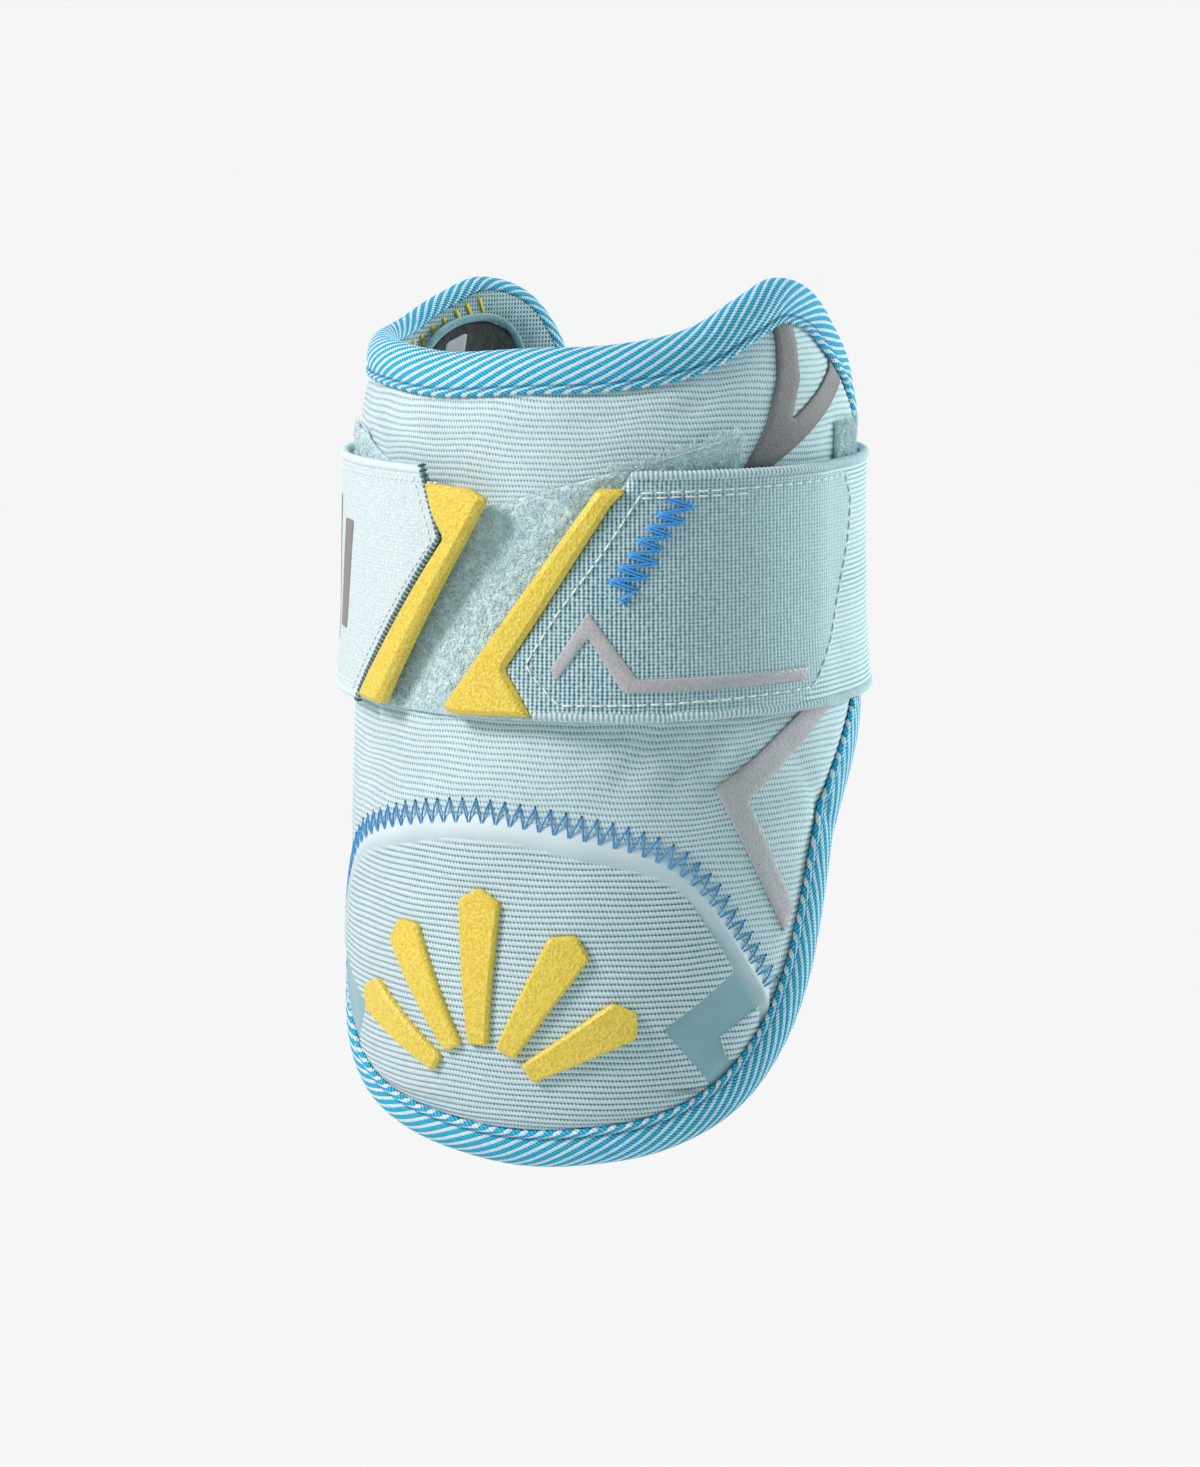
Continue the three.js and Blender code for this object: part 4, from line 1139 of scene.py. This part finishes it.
yellow = grained("moulded_yellow", (244, 228, 110), (212, 190, 62), 1750, 0.2, 0.36)


def on_strap_end(arc, height, distance):
    """Stand over the right hook pad."""
    return off_wall(arc, height, TAB_SEAT + distance)


def on_lifted_end(arc, height, distance):
    """Stand over the left hook pad, which lifts with the strap's end."""
    return off_wall(arc, height, TAB_SEAT + distance + lift(arc))


for name, corners, stand in (("tab_right", TAB_RIGHT, on_strap_end), ("tab_left", TAB_LEFT, on_lifted_end)):
    outline = eased_outline(strap_spots(corners), 1.0, 0.6)
    rings = bevelled(TAB_THICKNESS, TAB_BEVEL)
    cut_piece("pull_" + name, outline, rings, stand, 1.6, yellow, [name], sharp=CRISP_ANGLE)


def on_panel(arc, height, distance):
    """Stand over the ribbed panel."""
    return off_wall(arc, height, PANEL_STAND + 0.1 + distance)


badge_centre = spots([BADGE_CENTRE])[0]
for k in range(-2, 3):
    turn = -math.radians(k * RAY_TURN)
    reach = BADGE_OUTER - abs(k) * 4
    ray = np.array([(-2.2, BADGE_INNER), (2.2, BADGE_INNER), (4.6, reach - 3), (0, reach), (-4.6, reach - 3)])
    rotation = np.array([[math.cos(turn), math.sin(turn)], [-math.sin(turn), math.cos(turn)]])
    outline = eased_outline(ray @ rotation + badge_centre, 0.9, 0.6)
    rings = bevelled(RAY_THICKNESS, RAY_BEVEL)
    stands_for = [f"badge_ray_{k + 3}"]
    cut_piece(
        f"ray_{k + 3}", outline, rings, on_panel, 1.4, yellow, stands_for, sharp=CRISP_ANGLE
    )

# Bonded stripes
# Thin grained strips, silver and dark grey, heat-bonded flat: a bent one and a branching one on the
# cover here, and one on the strap's right end, which is laid once the strap is there.
STRIPE_RINGS = bevelled(0.45, 0.2)
CHEVRON = ((92, -0.2), (81, -0.2), (54, -0.333), (71.4, -0.592), (74.6, -0.55), (62, -0.355))
SHOULDER = (
    (69, 0.39), (61.5, 0.39), (68, 0.53), (73, 0.674), (74.4, 0.85), (81, 0.865), (81, 0.668), (76, 0.541),
    (88, 0.624), (98.6, 0.715), (103, 0.648), (86, 0.526),
)
STRAP_STRIPE = (
    (18.3, -0.585), (19.6, -0.68), (26, -0.325), (33, -0.775), (75, -0.76), (77, -0.655), (36, -0.665),
    (26, -0.115),
)
silver = grained("silver_strip", (193, 196, 199), (169, 172, 175), 1900, 0.1, 0.34)
dark_grey = grained("grey_strip", (120, 120, 121), (104, 105, 106), 1900, 0.06, 0.62)


def on_cover(arc, height, distance):
    """Stand on the ribs of the cover, pinched in and drifting with it."""
    drift = pinch(edge_depth(arc, height)) + 0.18 * waves(arc, height, 9)
    return off_wall(arc, height, 0.12 + distance + drift)


for name, rows, finish, slot in (
    ("chevron_stripe", CHEVRON, silver, "silver_trim"),
    ("shoulder_stripe", SHOULDER, dark_grey, "grey_trim"),
):
    outline = eased_outline(spots(rows), 0.5, 0.7)
    cut_piece(name.replace("stripe", "strip"), outline, STRIPE_RINGS, on_cover, 1.5, finish, [name])

# Fleece patches
# Short brushed loop pile on three patches that the strap's hooks grip. The pile is a lumpy nap with
# loose fibres combed over it, and it frays at the free end above the strap.
FLEECE_PATCHES = {
    "front": ((-34, -1.02), (58, -1.02), (60, 1.26), (34, 1.01), (3, 0.69), (-24, 0.52)),
    "left": ((-96, -0.9), (-38, -1.02), (-28, 0.97), (-46, 1.18), (-96, 1.18)),
    "right": ((94, -0.85), (101, -0.85), (107, 1.28), (93, 1.28)),
}
FLEECE_SEAT = 0.3
FIBRE_RADIUS = 0.07
FIBRE_COUNTS = {"front": 8200, "left": 700, "right": 700}
OPEN_BETWEEN = (-24, 34)
FRAYED_COUNT = 300
FRAYED_TOP = 245


def nap(arc, height):
    """Lumps of the pile: crossing sine waves from 1.5 to 6 mm long."""
    total = np.zeros(np.broadcast(arc, height).shape)
    rng = np.random.default_rng(31)
    for _ in range(12):
        heading = rng.normal(0.9, 0.9)
        length = rng.uniform(1.5, 6)
        shift = rng.uniform(0, math.tau)
        total += np.sin((arc * math.cos(heading) + height * math.sin(heading)) * math.tau / length + shift)
    return total / 4


def on_fleece_ground(arc, height, distance):
    """Stand of the patch, its upper face lifted and lowered by the nap."""
    lump = 0.1 * nap(arc, height) * np.clip(distance / FLEECE, 0, 1) ** 2
    return off_wall(arc, height, FLEECE_SEAT + distance * 0.9 + lump)


def brushed_cloth(name, light, dark):
    """Pile in soft streaks, bright at the tips."""
    material, node, plug = shader(name, 0.95, 0.15, sheen=0.25)
    coordinates = node("ShaderNodeTexCoord").outputs["Object"]
    turned = {"Vector": coordinates, "Scale": (1.0, 1.0, 0.4), "Rotation": (0.0, 0.6, 0.0)}
    streak = node("ShaderNodeMapping", turned).outputs[0]
    wispy = {"Vector": streak, "Scale": 2100.0, "Detail": 3.0, "Distortion": 1.5}
    hair = node("ShaderNodeTexNoise", wispy).outputs[0]
    clump = noise(node, 420.0, 3.0)
    tone = calc(node, "MULTIPLY_ADD", hair, 1.5, calc(node, "MULTIPLY_ADD", clump, 0.5, -0.5))
    plug(blend(node, tone, from_screen(*dark), from_screen(*light)), "Base Color")
    bump(node, plug, calc(node, "MULTIPLY_ADD", clump, 0.3, hair), 0.17)
    return material


fleece_cloth = brushed_cloth("brushed_fleece", (238, 255, 255), (112, 180, 194))
fibre_cloth = brushed_cloth("fleece_fibre", (244, 255, 255), (194, 226, 232))


def fibres(starts, headings, lengths, seed):
    """Loose fibres: each runs along its heading, curling, and rises off the nap by half a sine wave."""
    rng = np.random.default_rng(seed)
    share = np.array([0, 0.35, 0.7, 1])
    turn = headings[:, None] + rng.normal(0, 0.8, (len(starts), 1)) * share
    run = lengths[:, None] * share
    arc = starts[:, :1] + run * np.cos(turn)
    height = starts[:, 1:] + run * np.sin(turn)
    rise = rng.uniform(0.1, 0.55, (len(starts), 1)) * np.sin(np.pi * share * 0.75)
    stand = FLEECE_SEAT + FLEECE * 0.9 - 0.05 + 0.1 * nap(arc, height) + rise
    return tubes(off_wall(arc, height, stand), FIBRE_RADIUS, sides=3, taper=0.4)


def scattered(outline, count, seed):
    """Even random places inside an outline, kept where the strap leaves them in sight."""
    rng = np.random.default_rng(seed)
    low = outline.min(axis=0)
    high = outline.max(axis=0)
    places = rng.uniform(low, high, (count * 8, 2))
    places = places[inside_outline(places, outline) & open_to_sight(places)]
    return places[:count]


def open_to_sight(places):
    """Between the two tabs, or above or below the strap."""
    start, stop = arc_of(OPEN_BETWEEN)
    between = (places[:, 0] > start) & (places[:, 0] < stop)
    beyond = np.abs(places[:, 1]) > 0.93 * STRAP_WIDTH / 2
    return between | beyond


for name, corners in FLEECE_PATCHES.items():
    outline = eased_outline(strap_spots(corners), 0.8, 1.0)
    profile = [(0, 0), (0, 0.5), (0.35, 0.9), (1.0, FLEECE)]
    stands_for = ["loop_patch_" + name]
    patch = cut_piece(
        "fleece_" + name, outline, profile, on_fleece_ground, 1.0, fleece_cloth, stands_for
    )
    places = scattered(outline, FIBRE_COUNTS[name], 40 + len(name))
    rng = np.random.default_rng(50 + len(name))
    headings = rng.normal(0.95, 0.9, len(places))
    made = fibres(places, headings, rng.uniform(0.7, 2.0, len(places)), 60 + len(name))
    new_piece("fibres_" + name, made[0], made[1], fibre_cloth)

frayed = strap_spots(((30, 0.99), (36, 1.03), (44, 1.105), (52, 1.185), (59.5, 1.255), (59.5, 1.0)))
frayed = along_profile(frayed, FRAYED_COUNT)[0]
rng = np.random.default_rng(77)
along_top = np.arange(FRAYED_COUNT) < FRAYED_TOP
headings = np.where(along_top, rng.normal(1.6, 0.6, FRAYED_COUNT), rng.normal(0.3, 0.6, FRAYED_COUNT))
made = fibres(frayed, headings, rng.uniform(0.8, 2.6, FRAYED_COUNT), 78)
new_piece("fibres_frayed", made[0], made[1], fibre_cloth)

# Hook pads
# Stiff pads of tiny hooks sewn under both ends of the strap. They grip the fleece, and only their edges
# show. The left one lifts with the strap's loose end.
HOOK_RIGHT = ((-1, -0.92), (76, -0.92), (76, 0.8), (30, 0.8))
HOOK_LEFT = ((-70, -0.9), (-25, -0.9), (-1, 0.78), (-70, 0.78))


def hooked_cloth():
    """Rows of hooks, with painted shade between them."""
    material, node, plug = shader("hook_pad", 0.7, 0.3)
    coordinates = node("ShaderNodeTexCoord").outputs["Object"]
    cells = node("ShaderNodeTexVoronoi", {"Vector": coordinates, "Scale": 1300.0}, feature="SMOOTH_F1")
    hooks = cells.outputs[0]
    # Painted shade: light on the hooks, dark between them.
    plug(blend(node, hooks, from_screen(120, 152, 160), from_screen(48, 78, 86)), "Base Color")
    bump(node, plug, calc(node, "MULTIPLY", hooks, -1.0), 0.35)
    return material


hook_cloth = hooked_cloth()
for name, corners, lifted in (("hook_pad_right", HOOK_RIGHT, 0), ("hook_pad_left", HOOK_LEFT, 1)):
    cut_piece(
        name.replace("hook_pad", "hooks"),
        eased_outline(strap_spots(corners), 1, 1.5),
        [(0, 0), (0, HOOK - 0.2), (0.3, HOOK)],
        lambda arc, height, distance: off_wall(arc, height, HOOK_SEAT + distance + lifted * lift(arc)),
        3,
        hook_cloth,
        [name],
    )

# Strap
# Wide knitted elastic with fine ribs and a thick rolled cord along each edge. Its right end is faced
# with a square weave, stitched down in white, and its left end with a fine pale cloth that lies loose on
# the fleece.
STRAP_THICKNESS = 1.6
STRAP_RIB = 1.1
HOOK_RISE = HOOK + SEAM_GAP
RIGHT_STEP_DOWN = (80, 90)
LEFT_STEP_UP = (276, 286)
RIGHT_END = ((-1, 15.05), (-0.975, 14.75), (-0.6, 9.05), (0.74, 30.95), (0.86, 34.1), (1, 35.05))
LEFT_END = ((-1, 327), (-0.965, 327.6), (0.43, 354.8), (1, 349.2))
STRAP_COLUMNS = 210
UNDER_ROWS = 24
WARP_PITCH = 0.92
WEFT_PITCH = 0.8
BAND_EDGE = 0.985
CORD_RISE = 0.968
CORD_RADIUS = 1.0
CORD_STEPS = 1150
CORD_SIDES = 10
CORD_BEAD = 1.0
PALE_START = 287
WEAVE = (
    (8, -1), (8, -0.6), (8, 1), (93, 0.9), (97, 0.66), (95, 0.35), (90, -0.07), (86, -0.43), (78, -0.83),
    (70, -1),
)


def eased_step(value, low, high):
    """0 below low, 1 above high, smooth between."""
    t = np.clip((value - low) / (high - low), 0, 1)
    return t * t * (3 - 2 * t)


def strap_seat(arc):
    """Stand of the strap's underside: over the hook pads at both ends, on the fleece between."""
    right = 1 - eased_step(arc, *arc_of(RIGHT_STEP_DOWN))
    left = eased_step(arc, *arc_of(LEFT_STEP_UP))
    return HOOK_SEAT + HOOK_RISE * (right + left) + np.where(left > 0, lift(arc - arc_of(360)), 0)


def strap_arc(share, rise):
    """Arc at a share of the way from the right end to the left end, both ends slanting with the rise."""
    right = arc_of(np.interp(rise, *np.array(RIGHT_END).T))
    left = arc_of(np.interp(rise, *np.array(LEFT_END).T))
    return right + (left - right) * share


def strap_cloth():
    """Square weave on the right facing, deepest where it is nearest to the tab, fine pale cloth on the left
    one, and ribs between. Painted shade darkens the gaps of the weave and the grooves of the ribs."""
    material, node, plug = shader("strap_elastic", 0.85, 0.25)
    x, y, woven = place_on_cloth(node)
    shade = attribute(node, "shade")
    fine = noise(node, 1500.0, 2.0)
    weave = calc(node, "MULTIPLY_ADD", stripes(node, y, WEFT_PITCH), 0.15, 0.5)
    weave = calc(node, "MULTIPLY_ADD", stripes(node, x, WARP_PITCH), 0.3, weave)
    weave = about_middle(node, fine, 0.9, weave)
    # Painted shade: dark in the gaps of the weave, light on its threads.
    square = ramp(node, weave, (0.12, (50, 98, 110)), (0.5, (152, 190, 198)), last=(0.9, (206, 230, 235)))
    far = stretched(node, x, 30.0, 92.0)
    lit = blend(node, calc(node, "MULTIPLY", far, 0.7), square, from_screen(190, 217, 222))
    grain = about_middle(node, fine, 1.6, 0.6)
    plain = blend(node, grain, from_screen(172, 199, 204), from_screen(213, 230, 232))
    loose = stretched(node, x, 278.0, 280.5)
    facing = blend(node, loose, lit, plain)
    ribs = about_middle(node, fine, 0.5, shade)
    # Painted shade: the ribs dark in their grooves and light on their crests.
    ribbed = ramp(node, ribs, (0.1, (112, 156, 165)), last=(0.9, (206, 229, 233)))
    plug(blend(node, woven, ribbed, facing), "Base Color")
    relief = calc(node, "MULTIPLY_ADD", weave, 1.2, fine)
    bump(node, plug, relief, 0.1)
    return material


strap_rows = round(STRAP_WIDTH / STRAP_RIB * ROWS_PER_RIB)
top_rise = np.linspace(-BAND_EDGE, BAND_EDGE, strap_rows)
under_rise = np.linspace(BAND_EDGE, -BAND_EDGE, UNDER_ROWS + 2)[1:-1]
rises = np.concatenate([[-1, *top_rise], [1], under_rise])
over = np.concatenate([[0.5, *np.ones(strap_rows)], [0.5], np.zeros(UNDER_ROWS)])
shares = np.linspace(0, 1, STRAP_COLUMNS)
share_grid, rise_grid = np.meshgrid(shares, rises, indexing="ij")
over_grid = np.broadcast_to(over, share_grid.shape)
strap_arcs = strap_arc(share_grid, rise_grid)
strap_heights = rise_grid * STRAP_WIDTH / 2
weave_outline = strap_spots(WEAVE)
woven = inside_outline(np.stack([strap_arcs.ravel(), strap_heights.ravel()], axis=1), weave_outline)
woven = (woven.reshape(strap_arcs.shape) | (strap_arcs > arc_of(PALE_START))).astype(float)
strap_ridge = np.where(over_grid == 1, rib(strap_heights / STRAP_RIB), 0.75)
relief = 0.17 * (strap_ridge - 0.8) * (1 - woven) * (over_grid == 1)
strap_stand = strap_seat(strap_arcs) + over_grid * STRAP_THICKNESS + relief
strap_points = off_wall(strap_arcs, strap_heights, strap_stand)
ring = len(rises)
strap_faces = grid_faces(ring, STRAP_COLUMNS, closed=True)
strap_points = np.swapaxes(strap_points, 0, 1).reshape(-1, 3)
strap_lay = np.stack([strap_arcs, strap_heights, woven], axis=-1)
strap_lay = np.swapaxes(strap_lay, 0, 1).reshape(-1, 3)
end_caps = [
    (np.arange(ring) * STRAP_COLUMNS)[::-1].tolist(),
    (np.arange(ring) * STRAP_COLUMNS + STRAP_COLUMNS - 1).tolist(),
]
strap_elastic = strap_cloth()
new_piece(
    "strap_band",
    strap_points,
    strap_faces.tolist() + [cap[::-1] for cap in end_caps],
    strap_elastic,
    ["strap"],
    lay=strap_lay,
    shade=np.swapaxes(strap_ridge, 0, 1).reshape(-1),
)


def corded_edge(name, rise):
    """Rolled cord along an edge, with a bead for each of its wrapping yarns, painted darker between the beads
    as shade.
    """
    share = np.linspace(0.0, 1.0, CORD_STEPS)
    arc = strap_arc(share, np.full(CORD_STEPS, rise))
    height = np.full(CORD_STEPS, rise * STRAP_WIDTH / 2)
    path = off_wall(arc, height, strap_seat(arc) + STRAP_THICKNESS * 0.62)
    made, faces = tubes(path[None], CORD_RADIUS, sides=CORD_SIDES)
    wrapped = 1 - 0.75 * eased_step(arc, arc_of(170), arc_of(240))
    beads = np.cos(arc * math.tau / CORD_BEAD)
    swell = 1 + 0.13 * wrapped * beads
    rings = made.reshape(CORD_STEPS, CORD_SIDES, 3)
    rings = path[:, None, :] + (rings - path[:, None, :]) * swell[:, None, None]
    # Painted shade between the beads, fading where the cord is less wrapped.
    shade = np.repeat(1 - wrapped * (0.4 - 0.4 * beads), CORD_SIDES)
    lay = np.zeros((CORD_STEPS * CORD_SIDES, 3))
    new_piece(name, rings, faces, strap_elastic, lay=lay, shade=shade)


corded_edge("strap_cord_top", CORD_RISE)
corded_edge("strap_cord_bottom", -CORD_RISE)


def on_strap(arc, height, distance):
    """Stand on the strap's face."""
    return off_wall(arc, height, strap_seat(arc) + STRAP_THICKNESS + distance)


outline = eased_outline(strap_spots(STRAP_STRIPE), 0.5, 0.7)
cut_piece("strap_strip", outline, STRIPE_RINGS, on_strap, 1.5, silver, ["strap_stripe"])

# Strap sewing
# White lockstitch round the facing, a thick blue bar of zigzag that joins the layers, dark beads of
# serging over the loose left end, and two plain grey bars printed beside it.
STITCH_PITCH = 2.9
STITCH_RADIUS = 0.22
STITCH_SHARE = 0.8
SECOND_ROW = 9
SECOND_GAP = 1.15
BAR_THREAD_RADIUS = 0.27
BEAD_PITCH = 1.15
BEAD_RADIUS = 0.34
HEM_PITCH = 1.7
HEM_RADIUS = 0.19
HEM_SHARE = 0.7
FACING_SEAM = (
    (37, 22), (93, 23.2), (96.5, 17.5), (95, 9.4), (90, -1.9), (86, -11.4), (78, -21.9), (63, -22.3),
    (53, -22.7), (44, -22.8), (31, -23.2), (20, -23.3), (15.6, -18), (13, -15.1), (19.6, -3.8), (29.6, 10.2),
    (35.3, 19.3), (37, 22),
)
BAR_HIGH = ((42, 20.7), (40, 17.4), (38, 14.7), (36, 12), (34, 9), (32, 6.3), (30, 3.6))
BAR_LOW = ((48, 18.7), (46, 15.7), (43, 12.8), (41, 9.9), (40, 7.1), (38, 4.1), (36, 1.4), (34, -1.3))
PRINTED_BARS = (
    ((-63, 0.62), (-51, 0.62), (-56, -0.62), (-68, -0.62)),
    ((-45, 0.46), (-38, 0.46), (-42.6, -0.46), (-49.6, -0.46)),
)


def printed(name, light, dark):
    """Thin ink film that lets a little of the cloth's texture through."""
    material, node, plug = shader(name, 0.6, 0.3)
    grain = noise(node, 1800.0, 3.0)
    plug(blend(node, grain, from_screen(*dark), from_screen(*light)), "Base Color")
    bump(node, plug, grain, 0.05)
    return material


white_thread = thread_cloth("white_thread", (240, 248, 249), (196, 218, 222))
dark_thread = thread_cloth("dark_thread", (70, 124, 132), (24, 70, 80))


def mm_spots(rows):
    """Rows of angle and height in mm as points of the unrolled wall."""
    rows = np.asarray(rows, float)
    return np.stack([arc_of(rows[:, 0]), rows[:, 1]], axis=1)


def stitched(name, row, share, thread, sink, rise, radius, count=8):
    """Stitches on the strap's face, each covering a share of the way from one point to the next."""
    arch = stitch_arches(row[:-1], row[:-1] + share * np.diff(row, axis=0), sink, rise, count)
    points, faces = tubes(on_strap(*arch), radius)
    new_piece(name, points, faces, thread)


seam = spaced(mm_spots(FACING_SEAM), STITCH_PITCH)
stitched("facing_stitches", seam, STITCH_SHARE, white_thread, -0.14, 0.26, STITCH_RADIUS)
second = seam[:SECOND_ROW] - side_ways(seam[:SECOND_ROW]) * SECOND_GAP
stitched("second_stitches", second, STITCH_SHARE, white_thread, -0.14, 0.26, STITCH_RADIUS)

high = mm_spots(BAR_HIGH)
low = mm_spots(BAR_LOW)
turns = np.stack([high, low[:-1]], axis=1).reshape(-1, 2)
bar_line = np.concatenate([turns, low[-1:] + [[-1.5, 1.0]], low[-1:]])
bar_thread = thread_cloth("bar_thread", (86, 188, 248), (14, 118, 204))
for k, shift in enumerate((-0.24, 0.24)):
    stitched(f"blue_bar_{k + 1}", bar_line + shift, 1, bar_thread, -0.05, 0.7, BAR_THREAD_RADIUS, 9)

left_line = strap_spots([(angle - 360, rise) for rise, angle in LEFT_END])
beads = spaced(left_line, BEAD_PITCH)
out = -side_ways(beads)
reach = np.array([-0.9, -0.45, 0.0, 0.32, 0.36])
stand = np.array([-0.1, 0.22, 0.22, -0.2, -1.0])
paths = off_wall(
    beads[:, :1] + out[:, :1] * reach,
    beads[:, 1:] + out[:, 1:] * reach,
    strap_seat(beads[:, :1] + arc_of(360)) + STRAP_THICKNESS + stand,
)
points, faces = tubes(paths, BEAD_RADIUS)
new_piece("serged_beads", points, faces, dark_thread)

inner = left_line - np.array([[2.4, 0]]) + np.array([[arc_of(360), 0]])
start = np.array([[arc_of(PALE_START) + 2, 0]])
top_row = start + [[0, 23.2], [64, 23.2]]
low_row = start + [[0, -23.2], [38, -23.2]]
end_row = start + [[0, -23.2], [0, 23.2]]
for name, line in (("edge", inner * [1, 0.93]), ("top", top_row), ("low", low_row), ("back", end_row)):
    hem = spaced(line, HEM_PITCH)
    stitched(f"hem_stitches_{name}", hem, HEM_SHARE, white_thread, -0.12, 0.18, HEM_RADIUS, 6)

grey_ink = printed("grey_ink", (136, 136, 136), (122, 122, 123))
for k, corners in enumerate(PRINTED_BARS):
    outline = eased_outline(strap_spots(corners) + np.array([[arc_of(360), 0]]), 0.5, 0.8)
    rings = [(0, -0.12), (0, 0.08), (0.1, 0.12)]
    cut_piece(f"printed_bar_{k + 1}", outline, rings, on_strap, 1.5, grey_ink)

# Black insert
# A fuzzy black pad inside the left wing, with a smooth grey stripe up it and a round piping of the
# lining's soft pale cloth, coloured darker as painted shade, over its arched rim. A row of slanting dashes is
# printed on the lining above it.
INSERT_ARCH = (
    (-124, -0.15), (-125, 0), (-126, 0.2), (-126, 0.47), (-125, 0.69), (-121, 0.78), (-113, 0.815),
    (-103, 0.81), (-93, 0.785), (-83, 0.72), (-77, 0.58), (-75, 0.3), (-75, 0.1), (-76, -0.08), (-77, -0.15),
)
INSERT_STRIPE = ((-103, -0.11), (-94, -0.11), (-94, 0.745), (-103, 0.77))
INSERT_SEAT = 6
INSERT_THICKNESS = 2
PIPING_RADIUS = 0.9
PIPING_STEPS = 240
PIPING_SEAT = 1.35
DASH_ANGLES = (-80, -85, -90, -95, -100, -105, -110)


def on_lining(arc, height, distance):
    """Stand inwards from the lining's inner face."""
    return off_wall(arc, height, LINING_TOP - LINING_THICKNESS - distance)


def on_insert(arc, height, distance):
    """Stand inwards from the insert's back."""
    return off_wall(arc, height, -INSERT_SEAT - distance)


insert_line = spots(INSERT_ARCH)
black_fuzz = brushed_cloth("black_fuzz", (84, 84, 86), (4, 4, 5))
insert = cut_piece(
    "insert_pad",
    moved_in(eased_outline(insert_line, 2, 1.2), 1.3),
    [(0, 0), (0, 0.9), (0.4, 1.4), (1.2, 1.8), (2.4, INSERT_THICKNESS)],
    lambda arc, height, distance: on_insert(arc, height, distance + 0.12 * nap(arc, height) * (distance > 1)),
    1.4,
    black_fuzz,
    ["inner_pad"],
    inward=True,
)
cut_piece(
    "insert_stripe",
    eased_outline(spots(INSERT_STRIPE), 0.6, 1.0),
    [(0, 0), (0, 0.3), (0.2, 0.4)],
    lambda arc, height, distance: on_insert(arc, height, distance + INSERT_THICKNESS - 0.05),
    1.6,
    printed("stripe_skin", (186, 184, 186), (166, 164, 167)),
    inward=True,
)

piping_line = rounded_profile(insert_line, PIPING_STEPS, 2)[0]
piping_path = on_insert(piping_line[:, 0], piping_line[:, 1], np.full(PIPING_STEPS, PIPING_SEAT))
points, faces = tubes(piping_path[None], PIPING_RADIUS, sides=12)
# Piping colour: the lining's pale cloth darkened as painted shade.
shaded_piping_cloth = brushed_cloth("shaded_piping_cloth", (150, 190, 197), (84, 132, 141))
new_piece("insert_piping", points, faces, shaded_piping_cloth, ["inner_piping"])

yellow_ink = printed("yellow_ink", (226, 200, 70), (204, 178, 52))
for k, angle in enumerate(DASH_ANGLES):
    rim_height = np.interp(angle, [-114, -98, -80], [0.945, 0.89, 0.82])
    middle = nearest_on_edge(spots([(angle, rim_height)]))[0] * edge_length / EDGE_STEPS
    travel = middle + np.array([-0.8, 0.8, 2.4, 0.8])
    arc, height = edge_point(travel, np.array([4.4, 4.4, 8.2, 8.2]))
    outline = eased_outline(np.stack([arc, height], axis=1), 0.3, 0.5)
    rings = [(0, -0.1), (0, 0.12)]
    cut_piece(f"lining_dash_{k + 1}", outline, rings, on_lining, 1.5, yellow_ink, inward=True)
